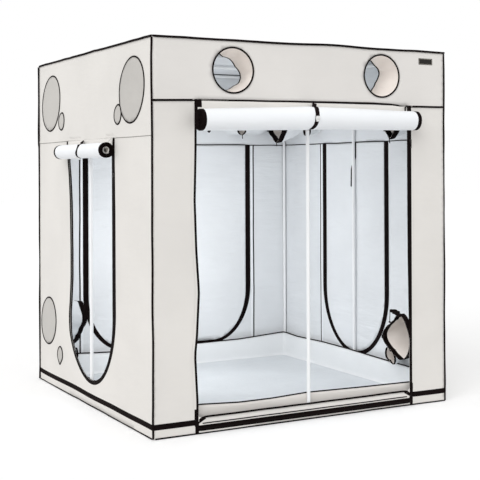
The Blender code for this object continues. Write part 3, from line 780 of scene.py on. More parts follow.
def tray_floor(x, y):
    free = smooth_step((TRAY_HALF - max(abs(x), abs(y))) / 0.08)
    folds = 0.0016 + 0.0016 * wobble(x * 3, y * 2.2, 51) + 0.0008 * wobble(x * 9 + y * 4, y * 12, 52)
    return Vector((x, y, TRAY_FLOOR + free * max(0, folds)))


def tray_side(x, y, share):
    """A point of the tray's upright side, which slumps inward a little halfway up."""
    slump = TRAY_SLUMP * math.sin(math.pi * share) * (0.4 + wobble(x * 4, y * 4, 55)) + 0.002
    scale = 1 - slump * share * 1.4
    return x * scale, y * scale, TRAY_FLOOR + (tray_rim(x, y) - TRAY_FLOOR) * share


def make_tray():
    perimeter = tray_perimeter()
    count = len(perimeter)
    shape = Shape()
    add_cloth(shape, perimeter, [], 0.026, tray_floor)
    points = [tray_side(x, y, row / TRAY_ROWS) for row in range(TRAY_ROWS + 1) for x, y in perimeter]
    faces = grid_faces(TRAY_ROWS + 1, count, ring=True)
    places = grid_places([TRAY_STEP * number for number in range(count + 1)],
                         [TRAY_ROW * row for row in range(TRAY_ROWS + 1)], turned=True)
    shape.add(points, [face[::-1] for face in faces], [place[::-1] for place in places], 1)
    # The tray's upright sides take a copy of its sheet that is painted lighter: painted light.
    tray = shape.piece("spill_tray_cloth", [TRAY, TRAY_WALL_PAINTED_LIGHT, TRAY_SIDE, TRAY_SIDE], closed=False)
    reworked(tray.data, lambda bm: bmesh.ops.remove_doubles(bm, verts=bm.verts, dist=0.0002))
    thickened(tray, back=2)
    finished(tray, "tent", "tray_fabric", "spill_tray")
    rim = Shape()
    tube(rim, [Vector((x * 0.996, y * 0.996, tray_rim(x, y))) for x, y in perimeter], 0.0042, closed=True)
    add_trim(rim, "spill_tray_piping")


# Trim on the walls

# The edge piping; the back left corner's is thicker and steps in below the header seam
PIPING_STEP = 0.03
LOW_PIPING = EDGE_PIPING * 0.72
EDGE_LINES = ((LOW_PIPING, LOW_PIPING, 0.9985), (HEIGHT + 0.001, EDGE_PIPING, 1.0012))
EDGE_SAG = 0.001
CORNER_SCALE = 0.999
CORNER_FADE = 0.1
CORNER_STATIONS = 90
THICK_CORNER = 1.6
CORNER_STEP_IN = 0.003
CORNER_STEP_OUT = 0.002
CORNER_STEP_FADE = 0.04

# The header seams
SEAM_SPOTS = np.linspace(-SHEET_EDGE, SHEET_EDGE, 60)
FRONT_SEAM_RISES = ((-SHEET_EDGE, -0.744, -0.458, 0.03, 0.457, 0.582, 0.675, SHEET_EDGE),
                    (-0.0125, -0.0055, -0.003, 0.003, 0.005, 0.0025, -0.0075, -0.0045))
FOLD_RISES = {"left": 0.0055, "back": 0.0125, "right": 0.0125}
FOLD_WIDTH = 0.013
FOLD_SWAY = 0.0012
# The dark line under each side fold is painted shadow: its drop below the fold's middle, and its width.
FOLD_SHADOW_DROP = 0.0078
FOLD_SHADOW_WIDTH = 0.0034
INNER_LINE_RISES = {"front": 0.004, "right": -0.001, "back": -0.001, "left": -0.001}

# The ground band
BAND_LOW = 0.052
BAND_HIGH = 0.083
BAND_SWAY = 0.0025

# The sill under the front door, measured from its half width and the ground. Its curve and corners are insets
# and heights, and a corner's last number is its width. Its line is an inset, a height and a radius, its band a
# height and a width, and its foot an outset, two heights and a width.
SILL_CURVE = ((0.002, 0.075), (0.010, 0.083), (0.022, 0.0895), (0.045, SILL_HEIGHT))
SILL_PIPING = 0.0034
SILL_LINE = (0.022, 0.0575, 0.0021)
SILL_BAND = (0.0335, 0.031)
SILL_CORNER = ((-0.004, 0.064), (0.040, 0.0885), 0.011)
SILL_FOOT = (0.012, 0.068, 0.004, 0.022)


def is_back_left(x, y):
    return x < 0 < y


def add_level_piping(shape, level, radius, scale):
    """Piping round the tent at one level; the upper one may sag, and follows the roof's front edge."""
    upper = level > HEIGHT / 2
    ring = [(x * FACE * scale, y * FACE * scale, level) for x, y in CORNERS]
    line = []
    for x, y, z in spaced(ring, PIPING_STEP, closed=True):
        rise = 1.2 * max(sway(x + 2 * y, level), -EDGE_SAG if upper else 0)
        if upper:
            rise += front_rise(x, y)
        line.append(Vector((x + sway(y, level, 0.001), y + sway(x, level + 3, 0.001), z + rise)))
    tube(shape, line, radius, closed=True)


def add_corner_piping(shape, x, y):
    thick = is_back_left(x, y)
    line = []
    for z in np.linspace(EDGE_PIPING, HEIGHT - EDGE_PIPING, CORNER_STATIONS):
        fade = min((HEIGHT - z) / CORNER_FADE, z / CORNER_FADE, 1)
        step = 0
        if thick:
            below = smooth_step((SIDE_SEAM - z) / CORNER_STEP_FADE) * min(z / CORNER_FADE, 1)
            step = CORNER_STEP_IN * below - CORNER_STEP_OUT
        line.append(Vector((x * CORNER_SCALE + fade * sway(z, x + y) + step,
                            y * CORNER_SCALE + fade * sway(z, x - y + 9), z)))
    tube(shape, line, EDGE_PIPING * (THICK_CORNER if thick else 1))


def make_edge_piping():
    """The piping along the tent's twelve edges, a little wavy."""
    shape = Shape()
    for level, radius, scale in EDGE_LINES:
        add_level_piping(shape, level, radius, scale)
    for x, y in CORNERS:
        add_corner_piping(shape, x * FACE, y * FACE)
    add_trim(shape, "edge_piping", "edge_binding")


def make_seams():
    """The header seams: thick black piping on the front, a sewn fold on the other walls with a painted shadow
    line under it, thin lines inside.
    """
    front = Shape()
    seam = [(u, FRONT_SEAM + read(FRONT_SEAM_RISES, u)) for u in SEAM_SPOTS]
    wall_piping(front, "front", seam, SEAM_PIPING, wave=0.0015)
    add_trim(front, "front_header_piping")
    folds = Shape()
    for wall in SIDE_WALLS:
        line = [(u, SIDE_SEAM + FOLD_RISES[wall] + sway(u, TURNS[wall], FOLD_SWAY)) for u in SEAM_SPOTS]
        wall_tape(folds, wall, line, FOLD_WIDTH)
        # A dark line just under the fold: painted shadow of the fold.
        shadow_line = [(u, v - FOLD_SHADOW_DROP) for u, v in line]
        wall_tape(folds, wall, shadow_line, FOLD_SHADOW_WIDTH, 0.0006, finish=1)
    finished(folds.piece("side_header_folds", [OUTER, FOLD_SHADOW_PAINT]), "tent", "outer_fabric")
    lines = Shape()
    for wall in TURNS:
        level = SEAMS[wall] + INNER_LINE_RISES[wall]
        top = [(-SHEET_EDGE, level), (SHEET_EDGE, level)]
        path, across, above = on_wall(wall, top, PIPING_STEP, -SKIN - LINE_PIPING, 0.004)
        swept(lines, path, across, above, round_section(LINE_PIPING, 6, 1.2))
    add_trim(lines, "inner_header_lines")


def make_ground_band():
    """The dark band sewn round the tent just above the ground, broken by the front door."""
    middle = (BAND_LOW + BAND_HIGH) / 2
    door = span("front", "front_zip")[1]
    shape = Shape()
    runs = [("front", -SHEET_EDGE, -door), ("front", door, SHEET_EDGE)]
    runs += [(wall, -SHEET_EDGE, SHEET_EDGE) for wall in ("right", "back", "left")]
    for wall, start, end in runs:
        line = [(u, middle + BAND_SWAY * wobble(u * 3, TURNS[wall])) for u in np.linspace(start, end, 30)]
        wall_tape(shape, wall, line, BAND_HIGH - BAND_LOW, step=0.03)
    add_trim(shape, "ground_band")


def make_sill():
    """The front door's sill: its piped top, the thin piping below it and the wide band behind the zip."""
    half = span("front", "front_zip")[1] - ZIP_WIDTH
    curve = [(half - inset, v) for inset, v in SILL_CURVE]
    shape = Shape()
    wall_piping(shape, "front", [(-u, v) for u, v in curve] + curve[::-1], SILL_PIPING, wave=0.0015)
    inset, level, radius = SILL_LINE
    wall_piping(shape, "front", [(inset - half, level), (half - inset, level)], radius, wave=0.001)
    level, width = SILL_BAND
    wall_tape(shape, "front", [(-half, level), (half, level)], width, 0.00005, 0.0002, crown=0)
    for side in (-1, 1):
        *ends, width = SILL_CORNER
        wall_tape(shape, "front", [(side * (half - inset), v) for inset, v in ends], width)
        outset, top, foot, width = SILL_FOOT
        wall_tape(shape, "front", [(side * (half + outset), v) for v in (top, foot)], width)
    add_trim(shape, "front_sill_trim")


# Zips: their teeth in half sizes, and where the left one's tape is pulled wide, by height

TOOTH_STEP = 0.0042
TOOTH_HALF_WIDTH = 0.0023
TOOTH_HALF_LENGTH = 0.0015
TOOTH_HEIGHT = 0.0016
TOOTH_TAPER = 0.25
TOOTH_ASIDE = 0.0006
TOOTH_CORNERS = [(a, b, c) for c in (0, 1) for a, b in ((-1, -1), (1, -1), (1, 1), (-1, 1))]
TOOTH_FACES = [(0, 3, 2, 1), (4, 5, 6, 7), (0, 1, 5, 4), (1, 2, 6, 5), (2, 3, 7, 6), (3, 0, 4, 7)]
TOOTH_PLACES = rectangle(0, 0, MM, MM)
ZIP_BORDER = 0.0085
WIDE_FROM = 0.3
WIDE_TAPE = {"left": ((0.15, 0.30, 0.62, 1.20, 1.52, 1.66), (1.0, 1.1, 1.9, 1.8, 1.1, 1.0))}

# The front zip's cover flaps: side, outset and width; and the inset of the black binding, by height
ZIP_FLAPS = ((-1, 0.0205, 0.012), (1, 0.0245, 0.011))
ZIP_FLAP_SIDE = 0.7
ZIP_FLAP_FOOT = 0.105
RIGHT_BINDING = ((0.42, 0.60, 0.90, 1.20, 1.86), (-0.007, -0.002, 0.003, 0.0045, 0.0045))

# The light flaps behind the zips: outset, width, shift along the wall and drop below the door
LIGHT_FLAPS = {"left": (-0.0055, 0.045, 0.0, 0.016), "back": (0.0045, 0.042, 0.0, 0.004),
               "right": (0.003, 0.050, -0.020, 0.004)}
FRONT_LIGHT_FLAP = (0.0092, 0.016)
FLAP_NARROWING = 0.45

# The taped seams inside: their places, the tapes' widths and how far the pale strip, in the white lining
# painted lighter, lies beside the black one
TAPE_SEAMS = {"left": (-0.4665,), "back": (-0.713, 0.706), "right": (0.4665,)}
SEAM_TAPE_WIDTH = 0.0096
SEAM_STRIP_WIDTH = 0.016
SEAM_STRIP = 0.0155


def add_teeth(shape, wall, line, rise, finish):
    """Moulded zip teeth, set alternately to either side of the chain's middle line."""
    points = spaced(line, TOOTH_STEP)
    along, out = wall_axes(wall)
    for number, ((u, v), (du, dv)) in enumerate(zip(points, directions(points))):
        forward = along * du + UP * dv
        side = along * dv - UP * du
        aside = TOOTH_ASIDE if number % 2 else -TOOTH_ASIDE
        centre = at_wall(wall, u, v, relief(wall, u, v) + rise) + side * aside
        corners = []
        for a, b, c in TOOTH_CORNERS:
            slim = 1 - TOOTH_TAPER * c
            corners.append(centre + side * a * TOOTH_HALF_WIDTH * slim + forward * b * TOOTH_HALF_LENGTH * slim
                           + out * c * TOOTH_HEIGHT)
        shape.add(corners, TOOTH_FACES, [TOOTH_PLACES] * len(TOOTH_FACES), finish)


def make_zips():
    """Each zip outside its door's edge: a tape with sewn borders and the chain along its middle."""
    for wall in TURNS:
        line = door_path(wall, ZIP_WIDTH / 2)
        shape = Shape()
        path, across, above = on_wall(wall, line, 0.012, 0.0003)
        along, _ = wall_axes(wall)
        if wall in WIDE_TAPE:
            across = [step * (read(WIDE_TAPE[wall], place.z) if place.dot(along) > WIDE_FROM else 1)
                      for place, step in zip(path, across)]
        swept(shape, path, across, above, tape_section(ZIP_WIDTH / 2, TAPE, TAPE_CROWN))
        for offset in (-ZIP_BORDER, ZIP_BORDER):
            border = [place + step * offset + out * MM for place, step, out in zip(path, across, above)]
            swept(shape, border, across, above, tape_section(0.0011, 0.0003, 0.0002))
        add_teeth(shape, wall, line, TAPE + 0.0004, 1)
        add_trim(shape, wall + "_zip_tape", wall + "_zip", finishes=(TRIM, CHAIN))


def make_front_zip_borders():
    """Cream flaps over the outer borders of the front zip, and a black binding inside its right run."""
    shape = Shape()
    for side, outset, width in ZIP_FLAPS:
        run = [(u, v) for u, v in door_path("front", outset) if u * side > ZIP_FLAP_SIDE and v > ZIP_FLAP_FOOT]
        wall_tape(shape, "front", run, width, 0.0016, 0.0008)
    finished(shape.piece("front_zip_flaps", [OUTER]), "tent", "outer_fabric")
    half = span("front", "front_zip")[1] - ZIP_WIDTH
    levels = np.linspace(FRONT_SEAM - 0.01, RIGHT_BINDING[0][0], 60)
    binding = Shape()
    wall_tape(binding, "front", [(half - read(RIGHT_BINDING, v), v) for v in levels], 0.016, 0.0001)
    add_trim(binding, "front_right_binding")


def inner_flap_path(wall, outset, shift, drop):
    """A light flap's middle, moved along the wall by shift; under the door it is narrower and further out."""
    path, across, above = on_wall(wall, door_path(wall, outset), 0.02, INNER_LIFT)
    along, _ = wall_axes(wall)
    moved = [place + along * shift + side * drop * abs(side.z) for place, side in zip(path, across)]
    narrowed = [side * (1 - FLAP_NARROWING * abs(side.z)) for side in across]
    return moved, narrowed, above


def make_inner_zip_trim():
    """Inside, a black light flap runs behind each zip, and taped seams run up beside the closed doors."""
    tapes = Shape()
    outset, width = FRONT_LIGHT_FLAP
    inner_tape(tapes, "front", door_path("front", outset, SILL_HEIGHT - 0.012), width)
    for wall, (outset, width, shift, drop) in LIGHT_FLAPS.items():
        path, across, above = inner_flap_path(wall, outset, shift, drop)
        swept(tapes, path, across, above, tape_section(width / 2))
        for u in TAPE_SEAMS[wall]:
            strip = -math.copysign(SEAM_STRIP, u)
            # Each seam: a black tape, and a pale strip of the white lining painted lighter.
            for aside, width, finish in ((0, SEAM_TAPE_WIDTH, 0), (strip, SEAM_STRIP_WIDTH, 1)):
                line = [(u + aside + sway(v, u, 0.003), v) for v in np.linspace(0.006, SIDE_SEAM, 40)]
                inner_tape(tapes, wall, line, width, finish, 0.03)
    add_trim(tapes, "inner_light_flaps", finishes=(TRIM, LINING_PAINTED_LIGHTER))


# Vent covers, closed doors and the patch

# The left wall's covers are skewed; a door's edge tape has an inset, a drop below the seam and a width
COVER_SKEWS = {"left": 0.13, "back": 0.0, "right": 0.0}
COVER_DOME = 0.0022
COVER_TUCK = 0.0006
COVER_SLACK = 0.0012
FLAP_SLACK = 0.003
FLAP_DRAG = 0.0015
FLAP_FREE = 0.15
EDGE_TAPE = (0.0075, 0.003, 0.011)
PATCH_BOX = (0.802, 2.119, 0.908, 2.158)
PATCH_INSET = 0.004


def vents_on(wall):
    """A side or back wall's closed vents: each one's outline, middle and radius."""
    u, v, radius = UPPER_VENT
    cable_u, cable_v, cable_radius = CABLE_VENT
    vents = []
    for side in (-1, 1):
        duct = side * u, v, radius
        cable = side * cable_u, cable_v, cable_radius
        vents += [(circle(*duct), *duct), (circle(*cable, 40), *cable)]
    if wall != "back":
        vents.append((circle(*LOWER_VENT), *LOWER_VENT))
        vents.append((teardrop(*DROP_VENT, DROP_VENT_TIP), *DROP_VENT))
    return vents


def cover_surface(wall, centre_u, centre_v, size, skew):
    """The surface of a vent's cover: slightly domed, tucked at its edge and slack in its middle."""
    def surface(u, v):
        share = 1 - math.hypot(u - skew * (v - centre_v) - centre_u, v - centre_v) / size
        dome = COVER_DOME * math.sqrt(max(0, min(share * 3, 1)))
        turn = math.atan2(v - centre_v, u - centre_u)
        tuck = COVER_TUCK * wobble(math.cos(turn) * 5, math.sin(turn) * 5, centre_u * 9) * (1 - share)
        slack = COVER_SLACK * wobble(u * 14, v * 14, centre_v * 5) * min(share * 4, 1)
        return at_wall(wall, u, v, relief(wall, u, v) + 0.0004 + dome + tuck + slack)
    return surface


def make_covers():
    """The closed vents: a grey cloth disc with a thin black ring, on the side and back walls."""
    discs = Shape()
    rings = Shape()
    for wall in SIDE_WALLS:
        skew = COVER_SKEWS[wall]
        for outline, u, v, size in vents_on(wall):
            outline = [(a + skew * (b - v), b) for a, b in outline]
            step = size / 9 if size > 0.1 else 0.012
            add_cloth(discs, outline, [], step, cover_surface(wall, u, v, size, skew))
            wall_piping(rings, wall, outline, COVER_PIPING, step=0.012, closed=True, side=-1, lift=0.0006)
    # The covers' inner sides take the sleeves' beige that is painted lighter, as painted light.
    covers = thickened(discs.piece("vent_cover_discs", [COVER, SLEEVE_PAINTED_LIGHT], closed=False), 0.0006, 1.0)
    finished(covers, "tent", "outer_fabric")
    add_trim(rings, "vent_cover_rings")


def make_closed_door(wall):
    """A zipped door: a flap of slack cloth with a bound edge."""
    edge = door_path(wall, -FLAP_GAP, top=SIDE_SEAM - FLAP_GAP)
    line = spaced(edge, 0.02)

    def surface(u, v):
        free = smooth_step(min(nearest(line, u, v), SIDE_SEAM - v) / FLAP_FREE)
        slack = FLAP_SLACK * (0.4 + wobble(u * 2, v * 1.5, 71)) + FLAP_DRAG * wobble(u * 3, v * 8, 72)
        return at_wall(wall, u, v, max(-INWARD, free * slack))

    shape = Shape()
    add_cloth(shape, edge, [], CLOTH_STEP, surface)
    flap = thickened(shape.piece(wall + "_door_cloth", [OUTER, LINING], closed=False))
    finished(flap, BODIES[wall], "outer_fabric", wall + "_door")
    area_of(edge)
    trim = Shape()
    inset, drop, width = EDGE_TAPE
    wall_tape(trim, wall, door_path(wall, -inset, top=SIDE_SEAM - drop), width, 0.0001, 0.0006)
    add_trim(trim, wall + "_door_edge_tape", body=BODIES[wall])


def make_closed_doors():
    for wall in ("back", "right"):
        make_closed_door(wall)


def make_patch():
    """A plain woven patch at the upper right of the front wall, with a stitched border."""
    left, low, right, high = PATCH_BOX
    middle = (low + high) / 2
    shape = Shape()
    wall_tape(shape, "front", [(left, middle), (right, middle)], high - low, 0.0003, 0.001, step=0.01)
    border = rectangle(left + PATCH_INSET, low + PATCH_INSET, right - PATCH_INSET, high - PATCH_INSET)
    wall_tape(shape, "front", border, 0.0016, 0.0014, 0.0003, 1, 0.006, closed=True)
    add_trim(shape, "front_patch", finishes=(PATCH, PATCH_EDGE))


# Rolled doors
#
# ends and tapes: the roll's ends along the wall and the bound edges' widths; core: the innermost layer's
# reach; foot: the sheet's lower edge when it hangs; bound: how much of the winding the binding shows;
# strap: where the strap is along the wall, by its turn round the roll in degrees, from strap_start and
# strap_drop below the seam; buckle: its place along the wall and its turn

ROLL_BACK = 0.0034
ROLL_STEPS = 20
ROLL_END = 0.009
ROLL_DENT = 0.0014
ROLL_CREASE = 0.0009
ROLL_WAIST = 0.0035
ROLL_TAIL_PARTS = 6
ROLL_TAPE = 0.0026
WEBBING = 0.0016
STRAP_OFF_WALL = 0.0016
FRONT_HALF = 0.76
FRONT_BOW = ((-0.75, -0.41, -0.05, 0.22, 0.62, 0.75), (0.003, 0.008, 0.0125, 0.009, 0.0, 0.0))


def front_radius(u):
    return 0.0675 - 0.0065 * ((u + 0.08) / FRONT_HALF) ** 2 + 0.003 * math.exp(-((u + 0.03) / 0.12) ** 2)


def front_axis(u):
    return FRONT_ROLL_LOW + 0.058 + 0.012 * u / FRONT_HALF + read(FRONT_BOW, u) + 0.0015 * wobble(u * 3, 5)


def left_radius(u):
    return 0.0465 + 0.001 * wobble(u * 3, 17)


def left_axis(u):
    return LEFT_ROLL_LOW + 0.0395 + 0.0015 * wobble(u * 3, 15)


def narrowed_span(wall, low_inset, high_inset):
    low, high = span(wall, wall + "_door")
    return low + low_inset, high - high_inset


FRONT_ROLL = {
    "wall": "front", "ends": narrowed_span("front", 0.018, 0.028), "tapes": (0.018, 0.027), "core": 0.010,
    "turns": 7.84, "stations": 72, "foot": 0.029, "radius": front_radius, "axis": front_axis, "bound": 1.0,
    "strap_start": 0.034, "strap_drop": 0.0025, "strap_width": 0.026, "buckle": (-0.029, -0.08),
    "strap": ((-90, -40, 0, 40, 80, 110), (-0.046, -0.032, -0.028, -0.021, -0.005, 0.001)),
}
LEFT_ROLL = {
    "wall": "left", "ends": narrowed_span("left", 0.022, 0.036), "tapes": (0.026, 0.018), "core": 0.0145,
    "turns": 7.83, "stations": 48, "foot": 0.165, "radius": left_radius, "axis": left_axis, "bound": 0.78,
    "strap_start": -0.075, "strap_drop": 0.0085, "strap_width": 0.024, "buckle": (0.012, -1.05),
    "strap": ((-90, -40, 0, 40, 60, 80, 110), (0.006, 0.016, 0.046, 0.046, 0.028, 0.0, -0.01)),
}

# The buckle's blocks: their place beside and above its middle, and their size
BUCKLE_SCALE = 0.78
BUCKLE_RISE = 0.004
BUCKLE_BLOCKS = (
    (0, 0.007, (0.030, 0.020, 0.0075)), (0, -0.011, (0.026, 0.013, 0.0060)),
    (-0.0145, 0.001, (0.0045, 0.020, 0.0055)), (0.0145, 0.001, (0.0045, 0.020, 0.0055)),
    (0, 0.019, (0.030, 0.0035, 0.0035)), (0, -0.020, (0.026, 0.0035, 0.0035)),
)


def at_roll(spec, along, reach, turn, least=-1.0):
    """A place reach from a roll's axis, turned upward from its outer side, and least or more off the wall."""
    w = ROLL_BACK + spec["radius"](along) + reach * math.cos(turn)
    return at_wall(spec["wall"], along, spec["axis"](along) + reach * math.sin(turn), max(w, least))


def strap_place(spec, turn):
    """Where the strap is along the wall at a turn round the roll."""
    quarter = math.pi / 2
    return read(spec["strap"], math.degrees((turn + quarter) % FULL_TURN - quarter))


def roll_radius(spec, along, share, turn):
    """How far a layer of the roll is from its axis; the layers share their dents, so they stay apart."""
    outer = spec["radius"](along) - SKIN
    dent = ROLL_DENT * wobble(along * 3, math.cos(turn) * 1.2, math.sin(turn) * 1.2)
    crease = ROLL_CREASE * wobble(along * 11, math.cos(turn) * 2.5, math.sin(turn) * 2.5)
    waist = ROLL_WAIST * math.exp(-((along - strap_place(spec, turn)) / (spec["strap_width"] * 0.9)) ** 2)
    return outer - (outer - spec["core"]) * share ** 1.3 + (dent + crease - waist) * (1 - share * 0.8)


def roll_line(spec, along, until):
    """One section of the rolled sheet, from the seam down behind the roll and round it."""
    seam = SEAMS[spec["wall"]]
    drop = seam - spec["axis"](along)
    line = []
    for part in range(ROLL_TAIL_PARTS):
        share = part / ROLL_TAIL_PARTS
        slack = 0.002 * math.sin(math.pi * share) * (1 + wobble(along * 4, 9))
        v = seam - 0.0015 - (drop - 0.0015) * share
        line.append(at_wall(spec["wall"], along, v, ROLL_BACK + SKIN + slack))
    steps = round(spec["turns"] * ROLL_STEPS)
    for step in range(round(steps * until) + 1):
        share = step / steps
        turn = math.pi + FULL_TURN * spec["turns"] * share
        line.append(at_roll(spec, along, roll_radius(spec, along, share, turn), turn))
    return line


def rolled_shape(spec, stations, until=1.0):
    lines = [roll_line(spec, along, until) for along in stations]
    shape = Shape()
    shape.add([point for line in lines for point in line], grid_faces(len(lines), len(lines[0])),
              grid_places(reaches_along(lines[0]), stations))
    return shape


def strap_line(spec):
    """A strap's middle line: from the seam over the roll's front, under it and up behind it to the seam."""
    wall = spec["wall"]
    seam = SEAMS[wall]
    drop = spec["strap_drop"]
    path = [at_wall(wall, spec["strap_start"], seam - drop, ROLL_BACK + 2 * SKIN + drop)]
    for degrees in range(100, -196, -8):
        turn = math.radians(degrees)
        along = strap_place(spec, turn if degrees > -90 else -math.pi / 2)
        reach = roll_radius(spec, along, 0, turn) + SKIN / 2 + 0.0007
        path.append(at_roll(spec, along, reach, turn, STRAP_OFF_WALL))
    far = spec["strap"][1][0]
    path.append(at_wall(wall, far, spec["axis"](far) + spec["radius"](far) * 0.7, 0.0018))
    path.append(at_wall(wall, far, seam - 0.004, STRAP_OFF_WALL))
    return [Vector(point) for point in spaced(path, 0.006)]


def make_strap(name, wall, path, width, *nodes, thickness=0.0014, body=None):
    """A webbing strap along a path, its width lying along the wall and square to the path."""
    along, _ = wall_axes(wall)
    across = []
    above = []
    for step in directions(np.array([tuple(point) for point in path])):
        forward = Vector(step)
        side = (along - forward * along.dot(forward)).normalized()
        across.append(side)
        above.append(side.cross(forward))
    shape = Shape()
    swept(shape, path, across, above, tape_section(width / 2, thickness, TAPE_CROWN))
    add_trim(shape, name, *nodes, body=body or BODIES[wall])


def make_buckle(spec):
    """A side-release buckle on the strap, turned to lie flat on the roll."""
    wall = spec["wall"]
    place, turn = spec["buckle"]
    along, out = wall_axes(wall)
    normal = (out * math.cos(turn) + UP * math.sin(turn)).normalized()
    up = along.cross(normal) * -1
    centre = at_roll(spec, place, spec["radius"](place) + BUCKLE_RISE, turn)
    shape = Shape()
    for aside, above, size in BUCKLE_BLOCKS:
        middle = centre + along * aside * BUCKLE_SCALE + up * above * BUCKLE_SCALE
        rounded_block(shape, middle, along, up, normal, [side * BUCKLE_SCALE for side in size], MM)
    finished(shape.piece(wall + "_roll_buckle", [BUCKLE]), BODIES[wall], "fitting_plastic")


def make_roll(spec):
    """A rolled door: one sheet that is blended from the seam to the roll, and its two bound edges."""
    wall = spec["wall"]
    low, high = spec["ends"]
    seam = SEAMS[wall]
    hinge = at_wall(wall, 0, seam, ROLL_BACK)
    shape = rolled_shape(spec, list(np.linspace(low + ROLL_END, high - ROLL_END, spec["stations"])))
    # The roll's lining side takes the white lining painted lighter: painted light.
    roll = thickened(shape.piece(wall + "_door_cloth", [OUTER, LINING_PAINTED_LIGHTER], closed=False), offset=0.0)
    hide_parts(wall + "_door")
    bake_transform(roll)
    low_width, high_width = spec["tapes"]
    for name, start, end in (("low", low, low + low_width), ("high", high - high_width, high)):
        bound = rolled_shape(spec, np.linspace(start, end, 4), spec["bound"])
        tape = thickened(bound.piece(wall + "_roll_tape_" + name, [TRIM], closed=False), ROLL_TAPE, 0.0, 0)
        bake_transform(tape)


def make_rolled_doors():
    for spec in (FRONT_ROLL, LEFT_ROLL):
        wall = spec["wall"]
        make_roll(spec)
        make_strap(wall + "_strap_webbing", wall, strap_line(spec), spec["strap_width"], wall + "_roll_strap",
                   thickness=WEBBING)
        make_buckle(spec)


# Short straps and elastic loops; the loops' heights are from the seam

STRAP_TIP = ((-0.655, 1.712, 0.020), (-0.657, 1.697, 0.022), (-0.664, 1.684, 0.026), (-0.674, 1.679, 0.030))
INNER_STRAP = ((-0.007, 1.655), (-0.006, 1.552), (0.020, 1.515), (0.045, 1.475), (0.050, 1.344))
LOOP_OUT = ROLL_BACK + 0.0085
LOOP_ARCH = ((0.690, -0.034), (0.690, -0.014), (0.693, -0.008), (0.701, -0.005), (0.709, -0.008),
             (0.712, -0.014), (0.712, -0.034))
LOOPS = (
    ("front_elastic_loop", "front", [(u, v, LOOP_OUT) for u, v in LOOP_ARCH], 0.0042, CORD),
    ("left_elastic_pull", "left",
     ((0.418, -0.002, 0.006), (0.421, -0.010, 0.018), (0.424, -0.022, 0.030), (0.424, -0.034, 0.036)),
     0.0028, PALE_CORD),
)


def declare_cord(cord, line, radius, pieces=()):
    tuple(line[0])
    reaches_along(line)[-1]


def make_end_straps():
    """The short straps beside the front door's main one, and two elastic loops."""
    line = [at_wall("front", -0.722 + MM * part, FRONT_SEAM - 0.002 - 0.0125 * part,
                    ROLL_BACK + 3.2 * SKIN + 0.0012 * math.sin(part)) for part in range(7)]
    make_strap("front_end_strap", "front", line, 0.036)
    tip = [at_wall("front", u, v, w) for u, v, w in spaced(STRAP_TIP, 0.005)]
    make_strap("front_end_strap_tip", "front", tip, 0.014)
    for name, wall, points, radius, finish in LOOPS:
        path = [at_wall(wall, u, SEAMS[wall] + v, w) for u, v, w in spaced(points, 0.003)]
        shape = Shape()
        tube(shape, path, radius)
        declare_cord(add_trim(shape, name, body=BODIES[wall], finishes=(finish,)), path, radius)


# Vent sleeves; a mouth is its hem's outline seen from outside, from its vent's middle

SLEEVE_SIDES = 60
SLEEVE_BACK = -SKIN - 0.0006
SLEEVE_CLOTH = 0.0009
SLEEVE_RIM = 0.010
SLEEVE_ROW = 0.012
SLEEVE_ROWS = 15
SLEEVE_SLACK = 0.035
SLEEVE_LEAN = 0.003
HEM_CLOTH = 0.0030
HEM_PARTS = 4
TAIL_RADIUS = 0.0032
TAIL_PARTS = 5
KNOT_PARTS = 14

LEFT_MOUTH = ((0.121, -0.002), (0.088, 0.038), (0.048, 0.082), (0.005, 0.091), (-0.018, 0.110), (-0.07, 0.108),
              (-0.115, 0.06), (-0.125, -0.01), (-0.11, -0.08), (-0.05, -0.118), (0.0, -0.112), (0.027, -0.103),
              (0.074, -0.078), (0.111, -0.059), (0.124, -0.032))
RIGHT_MOUTH = ((0.078, 0.002), (0.088, 0.031), (0.081, 0.055), (0.046, 0.082), (0.018, 0.111), (-0.04, 0.120),
               (-0.10, 0.07), (-0.125, 0.0), (-0.11, -0.07), (-0.06, -0.115), (-0.01, -0.11), (0.033, -0.069),
               (0.057, -0.03))
RIGHT_LOW_MOUTH = ((0.030, 0.090), (0.0, 0.098), (-0.034, 0.078), (-0.074, 0.028), (-0.099, -0.020),
                   (-0.105, -0.064), (-0.096, -0.120), (-0.058, -0.174), (-0.003, -0.193), (0.044, -0.175),
                   (0.097, -0.144), (0.145, -0.120), (0.184, -0.082), (0.187, -0.051), (0.153, -0.008),
                   (0.108, 0.023), (0.060, 0.053))
LEFT_LOW_MOUTH = ((0.120, 0.125), (0.150, 0.092), (0.200, 0.045), (0.200, 0.008), (0.125, -0.048),
                  (0.060, -0.103), (0.015, -0.144), (-0.069, -0.180), (-0.13, -0.19), (-0.15, -0.10),
                  (-0.15, 0.0), (-0.11, 0.09), (0.02, 0.115))
LOW_CABLE_MOUTH = ((0.048, 0.038), (0.059, -0.007), (0.011, -0.039), (-0.031, -0.062), (-0.043, -0.035),
                   (-0.037, -0.010), (0.008, 0.019), (0.026, 0.041))
DUCT_MOUTH = ((0.195, -0.149), (0.130, -0.203), (0.069, -0.252), (0.020, -0.205), (-0.027, -0.15),
              (-0.05, -0.06), (-0.02, 0.03), (0.08, 0.07), (0.18, 0.03), (0.215, -0.06))
NEAR_DUCT_MOUTH = ((0.090, -0.190), (0.055, -0.232), (0.036, -0.262), (0.008, -0.236), (-0.022, -0.190),
                   (-0.05, -0.06), (-0.01, 0.03), (0.08, 0.03), (0.12, -0.06))
BACK_DUCT_MOUTH = ((0.10, -0.08), (0.05, -0.12), (0.0, -0.14), (-0.05, -0.11), (-0.09, -0.06), (-0.08, 0.03),
                   (0.0, 0.06), (0.08, 0.03))
CABLE_MOUTH = ((0.0, -0.032), (-0.045, -0.078), (-0.078, -0.038), (-0.062, 0.0), (-0.02, 0.015))
